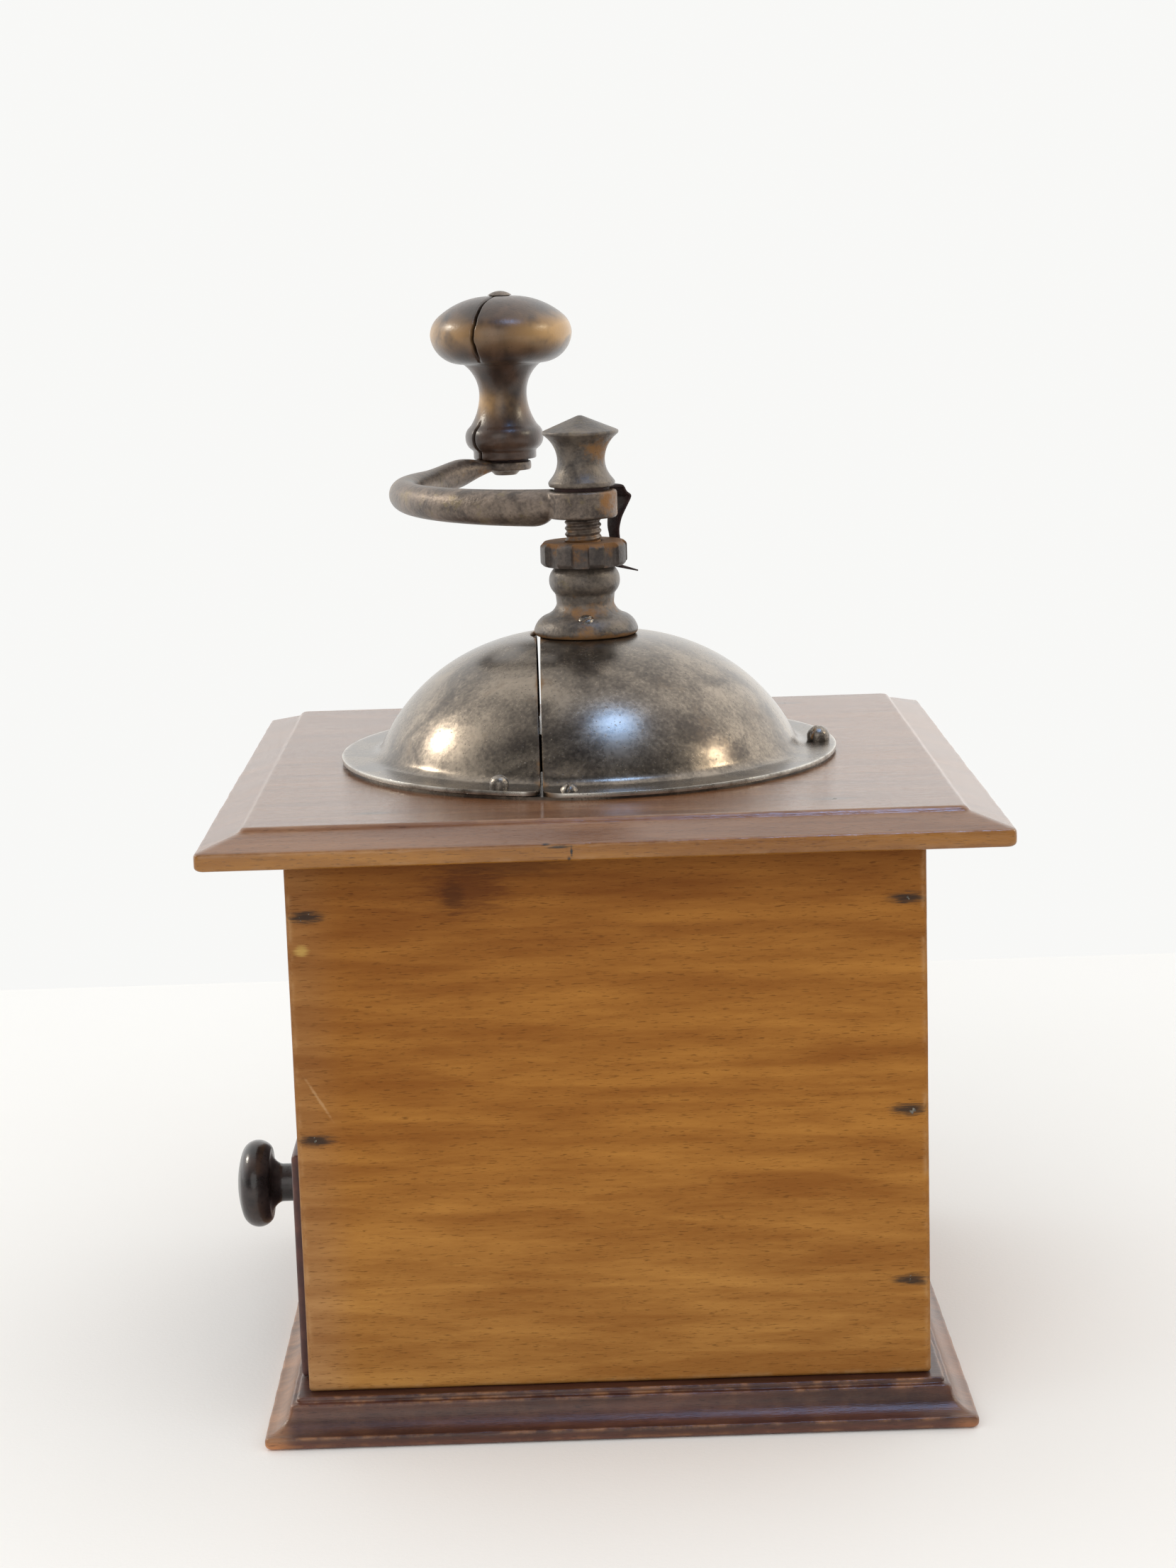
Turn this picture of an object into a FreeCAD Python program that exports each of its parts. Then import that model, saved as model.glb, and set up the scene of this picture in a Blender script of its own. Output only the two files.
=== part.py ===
# Hand crank coffee grinder: a wooden box mill with a steel dome, a swinging lid and a curved iron crank.
# Millimetres. X runs from the drawer front to the back, Y from the near side to the far side, Z is up,
# and the origin is the middle of the underside of the base.
import FreeCAD, Part
import math
import os
import re
import Sketcher

SIZES = {
    # wooden case
    "base_width": 146.0,
    "base_height": 8.85,
    "base_step": 1.15,
    "base_field": 133.6,
    "base_round": 5.0,
    "box_width": 128.6,
    "box_height": 113.8,
    "panel": 8.0,
    "board_width": 160.0,
    "board_corner": 1.5,
    "board_edge": 3.53,
    "board_slope_run": 8.0,
    "board_slope_drop": 2.4,
    "board_field": 142.3,
    "board_field_rise": 1.0,
    "bean_hole": 27.0,
    # nails and wood screws of the case
    "nail_head": 1.7,
    "nail_head_deep": 0.8,
    "nail_shank": 0.8,
    "nail_length": 15.0,
    "nail_point": 2.0,
    "nail_top_inset": 13.0,
    "nail_bottom_inset": 20.5,
    "nail_mouth_inset": 5.2,
    "board_nail_x": 46.0,
    "base_screw_x": 45.0,
    "base_screw_head": 3.2,
    "base_screw_sink": 2.6,
    "base_screw_shank": 1.6,
    "base_screw_length": 19.0,
    # drawer
    "drawer_height": 48.1,
    "drawer_floor_gap": 0.3,
    "drawer_side_gap": 0.4,
    "drawer_top_gap": 0.5,
    "drawer_proud": 2.2,
    "drawer_front_thick": 9.0,
    "drawer_back_gap": 8.8,
    "drawer_wall": 5.0,
    "drawer_wall_height": 38.0,
    "drawer_floor_thick": 3.5,
    "drawer_knob_tenon": 3.0,
    "drawer_knob_tenon_length": 7.0,
    "drawer_knob_foot": 6.2,
    "drawer_knob_neck": 4.25,
    "drawer_knob_neck_at": 6.5,
    "drawer_knob_head": 9.8,
    "drawer_knob_head_at": 13.3,
    "drawer_knob_back_at": 10.18,
    "drawer_knob_length": 17.9,
    "drawer_knob_cove": 10.4,
    "drawer_knob_back": 8.0,
    "drawer_knob_throat": 2.2,
    "drawer_knob_throat_round": 3.2,
    "drawer_knob_rim": 3.6,
    # dome, funnel and lid, all round the mill axis
    "mill_axis_x": -2.0,
    "funnel_sheet": 0.6,
    "funnel_rim": 53.2,
    "funnel_mouth": 26.0,
    "funnel_throat": 20.5,
    "funnel_end_gap": 0.2,
    "dome_sheet": 0.9,
    "dome_flange": 54.07,
    "dome_rise": 26.07,
    "dome_arc": 41.45,
    "dome_crown": 8.0,
    "dome_foot_round": 3.0,
    "slit_at": 10.35,
    "slit_gap": 0.6,
    "slit_corner": 3.5,
    "lid_lift": 0.3,
    "lid_ajar": 0.4,
    "lid_collar_gap": 0.5,
    "lid_pivot_x": -19.0,
    "screw_circle": 50.4,
    "dome_screw_x": -4.7,
    "dome_screw_head": 1.9,
    "dome_screw_rise": 1.4,
    "stud_head": 2.45,
    "stud_rise": 3.2,
    "pivot_head": 2.0,
    "pivot_rise": 2.5,
    "pivot_head_gap": 0.15,
    "dome_screw_shank": 1.25,
    "dome_screw_length": 6.0,
    # bearing collar
    "collar_spigot": 6.4,
    "collar_spigot_length": 3.0,
    "collar_foot": 11.0,
    "collar_bell": 11.45,
    "collar_bell_at": 1.0,
    "collar_shoulder": 9.0,
    "collar_shoulder_at": 4.2,
    "collar_neck": 6.2,
    "collar_neck_at": 6.8,
    "collar_bulb_foot": 6.5,
    "collar_bulb_foot_at": 9.0,
    "collar_bulb": 7.7,
    "collar_bulb_at": 12.0,
    "collar_top": 5.9,
    "collar_height": 14.95,
    "collar_bell_round": 4.6,
    "collar_neck_round": 4.0,
    "collar_bulb_round": 3.4,
    "collar_screw_circle": 9.1,
    "collar_screw_head": 1.7,
    "collar_screw_rise": 0.7,
    "collar_screw_shank": 1.0,
    "collar_screw_seat": 3.9,
    # adjusting nut and click spring
    "thrust_gap": 0.1,
    "nut_radius": 9.6,
    "nut_height": 5.3,
    "nut_chamfer": 0.8,
    "nut_notches": 8,
    "nut_notch_width": 3.9,
    "nut_notch_floor": 8.4,
    "nut_turn": 40.0,
    "thread_show": 5.1,
    "spring_sheet": 0.8,
    "spring_width": 6.0,
    "spring_claw_width": 3.2,
    "spring_back": 6.0,
    "spring_reach": 12.2,
    "spring_shoulder": 1.6,
    "spring_claw_radius": 8.7,
    "spring_claw_top": 10.2,
    "spring_claw_end": 17.2,
    "spring_tail_reach": 15.5,
    "spring_tail_drop": 19.0,
    # crank
    "hub_radius": 7.6,
    "hub_height": 5.9,
    "arm_bend": 40.7,
    "arm_sweep": 153.9,
    "arm_root": 3.65,
    "arm_tip": 2.5,
    "arm_swell": 3.9,
    "arm_end": 4.2,
    "arm_height": 1.85,
    "arm_climb": 1.0,
    "arm_start": 7.0,
    "pad_radius": 6.3,
    "pad_thick": 2.2,
    "pad_height": 4.7,
    "finial_foot": 7.1,
    "finial_bead": 7.3,
    "finial_bead_at": 1.0,
    "finial_bead_top": 2.0,
    "finial_waist": 5.15,
    "finial_waist_at": 6.0,
    "finial_rim": 8.3,
    "finial_rim_at": 11.4,
    "finial_rim_thick": 0.6,
    "finial_height": 15.3,
    "finial_tip": 0.4,
    "finial_bore": 9.0,
    "finial_foot_cove": 6.0,
    "finial_rim_cove": 7.0,
    # knob on the crank
    "washer_thick": 0.4,
    "washer_radius": 5.6,
    "knob_gap": 0.15,
    "knob_step": 7.6,
    "knob_step_top": 2.1,
    "knob_bead": 9.45,
    "knob_bead_at": 5.0,
    "knob_bead_top": 8.0,
    "knob_cove": 8.1,
    "knob_neck": 5.75,
    "knob_neck_at": 15.8,
    "knob_under": 9.4,
    "knob_under_at": 22.9,
    "knob_head": 17.1,
    "knob_head_at": 29.8,
    "knob_crown": 3.4,
    "knob_height": 38.9,
    "knob_shoulder": 15.0,
    "knob_shoulder_at": 34.3,
    "knob_bead_round": 3.2,
    "knob_foot_cove": 14.0,
    "knob_head_cove": 9.0,
    "knob_under_round": 7.5,
    "knob_rim_round": 6.0,
    "knob_crown_round": 18.9,
    "pin_radius": 2.4,
    "pin_run": 0.08,
    "pin_cap": 2.95,
    "pin_cap_rise": 1.05,
    "pin_foot": 3.8,
    "pin_foot_thick": 1.2,
    # spindle and its bearings
    "spindle_pivot": 3.0,
    "spindle_seat": 5.0,
    "spindle_collar": 7.2,
    "spindle_collar_thick": 2.5,
    "spindle_radius": 4.0,
    "spindle_square": 3.4,
    "spindle_end": 2.6,
    "spindle_tip": 1.0,
    "bearing_run": 0.05,
    "yoke_drop": 38.0,
    "yoke_bar": 4.0,
    "yoke_ring_gap": 1.5,
    "yoke_strap": 3.0,
    "yoke_foot": 9.0,
    "yoke_width": 16.0,
    # burr ring and cone
    "ring_height": 30.0,
    "ring_flange": 39.0,
    "ring_flange_thick": 4.0,
    "ring_body": 25.0,
    "ring_bottom": 20.2,
    "ring_waist": 15.0,
    "ring_waist_at": 13.0,
    "ring_top": 22.0,
    "ring_teeth": 20,
    "ring_tooth_deep": 1.2,
    "ring_tooth_skew": 12.0,
    "ring_screw_circle": 34.0,
    "cone_drop": 0.7,
    "cone_bottom": 19.0,
    "cone_skirt": 1.5,
    "cone_top": 8.5,
    "cone_height": 24.0,
    "cone_teeth": 24,
    "cone_tooth_deep": 1.1,
    "cone_tooth_top": 10.5,
    "cone_tooth_skew": 14.0,
    "cone_flutes": 6,
    "cone_flute_deep": 2.4,
    "cone_flute_foot": 8.0,
    "cone_flute_skew": 35.0,
    "burr_pin": 1.5,
    "burr_pin_at": 14.0,
    "burr_pin_length": 18.0,
    "works_screw_head": 3.0,
    "works_screw_rise": 1.8,
    "works_screw_shank": 1.5,
    "works_screw_bite": 5.0,
}

# heights of the main seats, as expressions on the sizes
BOX_TOP = "base_height + box_height"
BOARD_TOP = f"{BOX_TOP} + board_edge + board_slope_drop + board_field_rise"
FLANGE = f"{BOARD_TOP} + funnel_sheet"
CROWN = f"{FLANGE} + dome_rise"
NUT_BASE = f"{CROWN} + collar_height + thrust_gap"
HUB_BASE = f"{NUT_BASE} + nut_height + thread_show"
SPRING_BASE = f"{HUB_BASE} + hub_height"
FINIAL_BASE = f"{SPRING_BASE} + spring_sheet"
YOKE_BAR = f"{BOX_TOP} - yoke_drop"
SPINDLE_BASE = f"{YOKE_BAR} - yoke_bar - spindle_tip"
RING_BASE = f"{BOX_TOP} - ring_height"
CONE_BASE = f"{RING_BASE} - cone_drop"
MOUTH_TOP = "base_height + drawer_floor_gap + drawer_height + drawer_top_gap"
PAD_TOP = f"{HUB_BASE} + pad_height + pad_thick"
KNOB_BASE = f"{PAD_TOP} + washer_thick + knob_gap"
KNOB_X = "mill_axis_x - arm_bend * sin(arm_sweep)"
KNOB_Y = "arm_bend * (1 - cos(arm_sweep))"

doc = FreeCAD.newDocument("CoffeeGrinder")
sheet = doc.addObject("Spreadsheet::Sheet", "Dims")
for row, (alias, value) in enumerate(SIZES.items(), start=1):
    sheet.set(f"A{row}", alias)
    sheet.set(f"B{row}", str(value))
    sheet.setAlias(f"B{row}", alias)
doc.recompute()

WORD = re.compile(r"[a-z_][a-z_0-9]*")
nodes = {}


def tie(text):
    """The expression with every size name pointed at its cell of the sheet."""
    return WORD.sub(lambda w: f"Dims.{w.group()}" if w.group() in SIZES else w.group(), str(text))


def size(text):
    """The number that an expression on the sizes gives."""
    value = sheet.evalExpression(tie(text))
    return float(getattr(value, "Value", value))


def bind(thing, **links):
    """Bind properties of an object to expressions on the sizes."""
    for name, text in links.items():
        thing.setExpression(name, tie(text))
    return thing


def put(thing, x="0", y="0", z="0", axis=None, angle="0"):
    """Place an object by expressions, turned about one axis where that is asked."""
    if axis:
        thing.Placement = FreeCAD.Placement(FreeCAD.Vector(), FreeCAD.Rotation(axis, size(angle)))
    for name, text in (("x", x), ("y", y), ("z", z)):
        thing.setExpression(f"Placement.Base.{name}", tie(text))
    return thing


def keep(name, thing):
    """Name an object as a sub-part that gets a file of its own."""
    thing.Label = name
    nodes[name] = thing
    return thing


def new_body(name):
    """An empty body for one piece."""
    return doc.addObject("PartDesign::Body", name + "_body")


def new_sketch(body, name, role="XY_Plane", lift="0"):
    """A sketch on one of the body's own origin planes, raised by an expression."""
    sketch = body.newObject("Sketcher::SketchObject", name)
    plane = next(item for item in body.Origin.OriginFeatures if item.Role == role)
    sketch.AttachmentSupport = [(plane, "")]
    sketch.MapMode = "FlatFace"
    sketch.setExpression("AttachmentOffset.Base.z", tie(lift))
    return sketch


def pin_point(sketch, piece, end, across, along):
    """Fix one end of a sketch line at expressions measured from the sketch's origin."""
    for kind, text, axis in (("DistanceX", across, -2), ("DistanceY", along, -1)):
        value = size(text)
        if abs(value) < 1e-9:
            sketch.addConstraint(Sketcher.Constraint("PointOnObject", piece, end, axis))
            continue
        if value > 0:
            rule = Sketcher.Constraint(kind, -1, 1, piece, end, value)
            text = f"{text}"
        else:
            rule = Sketcher.Constraint(kind, piece, end, -1, 1, -value)
            text = f"-({text})"
        index = sketch.addConstraint(rule)
        sketch.setExpression(f"Constraints[{index}]", tie(text))


def outline(sketch, corners):
    """Close a loop through corners given as expressions.

    A corner with a third entry is reached by an arc of that radius, bulging to the right of the way
    ("round") or to the left of it ("hollow").
    """
    spots = [FreeCAD.Vector(size(corner[0]), size(corner[1]), 0) for corner in corners]
    starts = []
    ends = []
    for index, start in enumerate(spots):
        following = (index + 1) % len(spots)
        end = spots[following]
        corner = corners[following]
        if len(corner) == 2:
            piece = sketch.addGeometry(Part.LineSegment(start, end))
            starts.append((piece, 1))
            ends.append((piece, 2))
            continue
        radius = size(corner[2])
        chord = end.sub(start)
        side = FreeCAD.Vector(chord.y, -chord.x, 0).normalize()
        sag = radius - math.sqrt(radius * radius - chord.Length * chord.Length / 4)
        turn = 1 if corner[3] == "round" else -1
        middle = start.add(end).multiply(0.5).add(side.multiply(sag * turn))
        piece = sketch.addGeometry(Part.Arc(start, middle, end))
        backwards = sketch.getPoint(piece, 1).sub(start).Length > 1e-6
        starts.append((piece, 2 if backwards else 1))
        ends.append((piece, 1 if backwards else 2))
        index = sketch.addConstraint(Sketcher.Constraint("Radius", piece, radius))
        sketch.setExpression(f"Constraints[{index}]", tie(corner[2]))
    for index, corner in enumerate(corners):
        before = ends[index - 1]
        after = starts[index]
        sketch.addConstraint(Sketcher.Constraint("Coincident", before[0], before[1], after[0], after[1]))
        pin_point(sketch, after[0], after[1], corner[0], corner[1])


def rectangle(sketch, left, low, right, high):
    """A rectangle between four expressions."""
    outline(sketch, [(left, low), (right, low), (right, high), (left, high)])


def circle(sketch, radius, across="0", along="0"):
    """A circle with its radius and centre bound."""
    spot = FreeCAD.Vector(size(across), size(along), 0)
    piece = sketch.addGeometry(Part.Circle(spot, FreeCAD.Vector(0, 0, 1), size(radius)))
    index = sketch.addConstraint(Sketcher.Constraint("Radius", piece, size(radius)))
    sketch.setExpression(f"Constraints[{index}]", tie(radius))
    pin_point(sketch, piece, 3, across, along)


def pad(body, sketch, length, both_ways=False):
    """Raise a sketch by a length."""
    feature = body.newObject("PartDesign::Pad", sketch.Name + "_pad")
    feature.Profile = sketch
    bind(feature, Length=length)
    if both_ways:
        feature.SideType = "Symmetric"
    return feature


def drill(body, sketch, length=None, upward=False):
    """Cut a sketch away downward, through everything or by a length."""
    feature = body.newObject("PartDesign::Pocket", sketch.Name + "_cut")
    feature.Profile = sketch
    feature.Reversed = upward
    if length is None:
        feature.Type = "ThroughAll"
    else:
        bind(feature, Length=length)
    return feature


def turned(name, corners):
    """A piece turned on the lathe: a profile of radius and height spun round its own axis."""
    body = new_body(name)
    sketch = new_sketch(body, name + "_profile", "XZ_Plane")
    outline(sketch, corners)
    spin = body.newObject("PartDesign::Revolution", name + "_turn")
    spin.Profile = sketch
    spin.ReferenceAxis = (sketch, ["V_Axis"])
    spin.Angle = 360
    return body


def round_pattern(body, feature, count):
    """Repeat a feature round the body's own upright axis."""
    doc.recompute()
    axis = next(item for item in body.Origin.OriginFeatures if item.Role == "Z_Axis")
    pattern = body.newObject("PartDesign::PolarPattern", feature.Name + "_round")
    pattern.Originals = [feature]
    pattern.Axis = (axis, [""])
    pattern.Angle = 360
    bind(pattern, Occurrences=count)
    body.Tip = pattern
    return pattern


def edges_where(feature, test):
    """Names of a feature's straight or round edges whose middle passes a test."""
    doc.recompute()
    names = []
    for index, edge in enumerate(feature.Shape.Edges, start=1):
        middle = edge.valueAt((edge.FirstParameter + edge.LastParameter) / 2)
        if test(edge, middle):
            names.append(f"Edge{index}")
    return names


def block(name, length, width, height):
    """A plain board, centred on X and Y and standing on its own origin."""
    board = doc.addObject("Part::Box", name + "_blank")
    return bind(board, Length=length, Width=width, Height=height)


def fitted(name, base, tools):
    """A piece with the seats of other pieces cut out of it."""
    for index, tool in enumerate(tools):
        cut = doc.addObject("Part::Cut", f"{name}_seat_{index}")
        cut.Base = base
        cut.Tool = tool
        base = cut
    return keep(name, base)


def headed(name, head, rise, shank, length):
    """A round-headed screw: its head stands on its own origin and its shank goes down."""
    dome = f"(pow({head}; 2) + pow({rise}; 2)) / (2 * {rise})"
    return keep(name, turned(name, [
        ("0", f"-({length})"),
        (shank, f"{shank} - ({length})"),
        (shank, "0"),
        (head, "0"),
        ("0", rise, dome, "round"),
    ]))


UP = FreeCAD.Vector(0, 0, 1)
ALONG_X = FreeCAD.Vector(1, 0, 0)
ALONG_Y = FreeCAD.Vector(0, 1, 0)

# the burrs: degrees that all the teeth cover on each side of their middles, where 180 would let them meet,
# the flutes' outer reach as a share of their depth, and where the first groove starts
TOOTH_COVER = 150
FLUTE_COVER = 190
FLUTE_REACH = 1.5
GROOVE_TURN = "45"
RING_SCREWS = 3


def make_nail(name):
    """A nail driven along its own axis, with the top of its head at its origin."""
    return keep(name, turned(name, [
        ("0", "0"),
        ("nail_head", "0"),
        ("nail_head", "nail_head_deep"),
        ("nail_shank", "nail_head_deep"),
        ("nail_shank", "nail_length - nail_point"),
        ("0", "nail_length"),
    ]))


def make_case():
    """Base, four panels and top board, with their nails and screws."""
    front_x = "-(box_width - panel) / 2"
    back_x = "(box_width - panel) / 2"
    rows = [
        (front_x, f"{BOX_TOP} - nail_top_inset"),
        (front_x, f"{MOUTH_TOP} + nail_mouth_inset"),
        (back_x, f"{BOX_TOP} - nail_top_inset"),
        (back_x, f"{BOX_TOP} - box_height / 2"),
        (back_x, "base_height + nail_bottom_inset"),
    ]
    nails = {"near": [], "far": []}
    for side, sign, angle in (("near", "-", "-90"), ("far", "", "90")):
        for index, (x, z) in enumerate(rows, start=1):
            nail = make_nail(f"side_nail_{side}_{index}")
            put(nail, x, f"{sign}box_width / 2", z, ALONG_X, angle)
            nails[side].append(nail)
    board_nails = {"near": [], "far": []}
    base_screws = {"near": [], "far": []}
    for side, sign in (("near", "-"), ("far", "")):
        for end, way in (("front", "-"), ("back", "")):
            nail = make_nail(f"board_nail_{side}_{end}")
            put(nail, f"{way}board_nail_x", f"{sign}(box_width - panel) / 2", BOARD_TOP, ALONG_X, "180")
            board_nails[side].append(nail)
            name = f"base_screw_{side}_{end}"
            screw = keep(name, turned(name, [
                ("0", "0"),
                ("base_screw_head", "0"),
                ("base_screw_shank", "base_screw_sink"),
                ("base_screw_shank", "base_screw_length - base_screw_shank"),
                ("0", "base_screw_length"),
            ]))
            put(screw, f"{way}base_screw_x", f"{sign}(box_width - panel) / 2", "0")
            base_screws[side].append(screw)

    base = new_body("base_plate")
    slab = new_sketch(base, "base_slab")
    rectangle(slab, "-base_width / 2", "-base_width / 2", "base_width / 2", "base_width / 2")
    raised = pad(base, slab, "base_height - base_step")
    top = size("base_height - base_step")
    rims = edges_where(raised, lambda edge, middle: abs(middle.z - top) < 1e-6)
    softened = base.newObject("PartDesign::Fillet", "base_rounding")
    softened.Base = (raised, rims)
    bind(softened, Radius="base_round")
    field = new_sketch(base, "base_field_square", lift="base_height - base_step")
    rectangle(field, "-base_field / 2", "-base_field / 2", "base_field / 2", "base_field / 2")
    pad(base, field, "base_step")
    fitted("base_plate", base, base_screws["near"] + base_screws["far"])

    for side, y in (("near", "-box_width / 2"), ("far", "box_width / 2 - panel")):
        board = block(f"side_panel_{side}", "box_width", "panel", "box_height")
        put(board, "-box_width / 2", y, "base_height")
        fitted(f"side_panel_{side}", board, nails[side] + board_nails[side] + base_screws[side])

    between = "box_width - 2 * panel"
    front = block("front_panel", "panel", between, f"{BOX_TOP} - ({MOUTH_TOP})")
    put(front, "-box_width / 2", "panel - box_width / 2", MOUTH_TOP)
    fitted("front_panel", front, nails["near"][:2] + nails["far"][:2])
    back = block("back_panel", "panel", between, "box_height")
    put(back, "box_width / 2 - panel", "panel - box_width / 2", "base_height")
    fitted("back_panel", back, nails["near"][2:] + nails["far"][2:])
    return board_nails["near"] + board_nails["far"]


def make_board(fasteners):
    """The top board: a slab with a long sloped edge, a raised field and the bean hole."""
    board = new_body("top_board")
    slab = new_sketch(board, "board_slab")
    rectangle(slab, "-board_width / 2", "-board_width / 2", "board_width / 2", "board_width / 2")
    raised = pad(board, slab, "board_edge + board_slope_drop")
    top = size("board_edge + board_slope_drop")
    rims = edges_where(raised, lambda edge, middle: abs(middle.z - top) < 1e-6)
    slope = board.newObject("PartDesign::Chamfer", "board_slope")
    slope.Base = (raised, rims)
    slope.ChamferType = "Two distances"
    bind(slope, Size="board_slope_drop", Size2="board_slope_run")
    doc.recompute()
    flat = [face for face in slope.Shape.Faces if face.CenterOfMass.z > top - 1e-6]
    if abs(flat[0].BoundBox.XLength - size("board_width - 2 * board_slope_run")) > 0.01:
        slope.FlipDirection = True
    upright = edges_where(slope, lambda edge, middle: abs(edge.tangentAt(edge.FirstParameter).z) > 0.9)
    corners = board.newObject("PartDesign::Fillet", "board_corners")
    corners.Base = (slope, upright)
    bind(corners, Radius="board_corner")
    field = new_sketch(board, "board_field_square", lift="board_edge + board_slope_drop")
    rectangle(field, "-board_field / 2", "-board_field / 2", "board_field / 2", "board_field / 2")
    pad(board, field, "board_field_rise")
    hole = new_sketch(board, "bean_hole_circle", lift="board_edge + board_slope_drop + board_field_rise")
    circle(hole, "bean_hole", "mill_axis_x")
    drill(board, hole)
    put(board, z=BOX_TOP)
    fitted("top_board", board, fasteners)


def make_drawer():
    """The drawer: five boards and a turned knob.

    The knob's blunt face is a wide arc that touches the round of its rim, so the two centres and the point
    where the arcs meet lie on one line.
    """
    front_x = "-box_width / 2 - drawer_proud"
    inside_x = f"{front_x} + drawer_front_thick"
    low = "base_height + drawer_floor_gap"
    half = "(box_width / 2 - panel - drawer_side_gap)"
    depth = "(box_width - panel + drawer_proud - drawer_front_thick - drawer_back_gap)"
    cap = "(drawer_knob_length - drawer_knob_head_at)"
    core = "(drawer_knob_head - drawer_knob_rim)"
    square = f"(pow({core}; 2) + pow({cap}; 2) - pow(drawer_knob_rim; 2))"
    face = f"({square} / (2 * ({cap} - drawer_knob_rim)))"
    share = f"(drawer_knob_rim / ({face} - drawer_knob_rim))"
    rim_up = f"({face} - {cap}) * {share}"
    knob = keep("drawer_knob", turned("drawer_knob", [
        ("0", "-drawer_knob_tenon_length"),
        ("drawer_knob_tenon", "-drawer_knob_tenon_length"),
        ("drawer_knob_tenon", "0"),
        ("drawer_knob_foot", "0"),
        ("drawer_knob_neck", "drawer_knob_neck_at", "drawer_knob_cove", "hollow"),
        ("drawer_knob_neck", "drawer_knob_back_at - drawer_knob_throat"),
        ("drawer_knob_back", "drawer_knob_back_at", "drawer_knob_throat_round", "hollow"),
        ("drawer_knob_head", "drawer_knob_head_at", "drawer_knob_rim", "round"),
        (f"{core} * (1 + {share})", f"drawer_knob_head_at + {rim_up}", "drawer_knob_rim", "round"),
        ("0", "drawer_knob_length", face, "round"),
    ]))
    put(knob, front_x, "0", f"{low} + drawer_height / 2", ALONG_Y, "-90")
    front = block("drawer_front", "drawer_front_thick", f"2 * {half}", "drawer_height")
    put(front, front_x, f"-{half}", low)
    fitted("drawer_front", front, [knob])
    floor = block("drawer_floor", depth, f"2 * {half}", "drawer_floor_thick")
    keep("drawer_floor", put(floor, inside_x, f"-{half}", low))
    on_floor = f"{low} + drawer_floor_thick"
    for side, y in (("near", f"-{half}"), ("far", f"{half} - drawer_wall")):
        wall = block(f"drawer_side_{side}", depth, "drawer_wall", "drawer_wall_height")
        keep(f"drawer_side_{side}", put(wall, inside_x, y, on_floor))
    back = block("drawer_back", "drawer_wall", f"2 * ({half} - drawer_wall)", "drawer_wall_height")
    put(back, f"{inside_x} + {depth} - drawer_wall", f"drawer_wall - {half}", on_floor)
    keep("drawer_back", back)


def dome_body(name):
    """The whole dome with its flange, turned from sheet, before it is cut apart at the slit.

    A hollow round at its foot touches both the flange and the arc of the dome: its centre lies on the
    line between the two arcs' centres, and so does the point where they meet.
    """
    inner = "dome_crown + sqrt(pow(dome_arc - dome_sheet; 2) - pow(dome_arc - dome_rise; 2))"
    reach = "(dome_arc + dome_foot_round)"
    up = "(dome_arc - dome_rise + dome_sheet + dome_foot_round)"
    out = f"sqrt(pow({reach}; 2) - pow({up}; 2))"
    return turned(name, [
        (inner, "0", "dome_arc - dome_sheet", "hollow"),
        ("dome_flange", "0"),
        ("dome_flange", "dome_sheet"),
        (f"dome_crown + {out}", "dome_sheet"),
        (f"dome_crown + {out} * dome_arc / {reach}", f"dome_rise - dome_arc + {up} * dome_arc / {reach}",
         "dome_foot_round", "hollow"),
        ("dome_crown", "dome_rise", "dome_arc", "round"),
        ("collar_spigot", "dome_rise"),
        ("collar_spigot", "dome_rise - dome_sheet"),
        ("dome_crown", "dome_rise - dome_sheet"),
    ])


def part_dome(body, left, right, edge):
    """Cut the dome away between two distances from its axis and round the flange corners at the slit."""
    window = new_sketch(body, body.Name + "_window", lift="dome_rise + dome_sheet")
    rectangle(window, left, "-dome_flange - dome_sheet", right, "dome_flange + dome_sheet")
    cut = drill(body, window)
    place = size(edge)
    rim = size("dome_flange")

    def at_slit(edge_line, middle):
        upright = abs(edge_line.tangentAt(edge_line.FirstParameter).z) > 0.99
        on_rim = abs(math.hypot(middle.x, middle.y) - rim) < 1e-4
        return upright and on_rim and abs(middle.x - place) < 1e-4

    corners = body.newObject("PartDesign::Fillet", body.Name + "_corners")
    corners.Base = (cut, edges_where(cut, at_slit))
    bind(corners, Radius="slit_corner")


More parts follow.
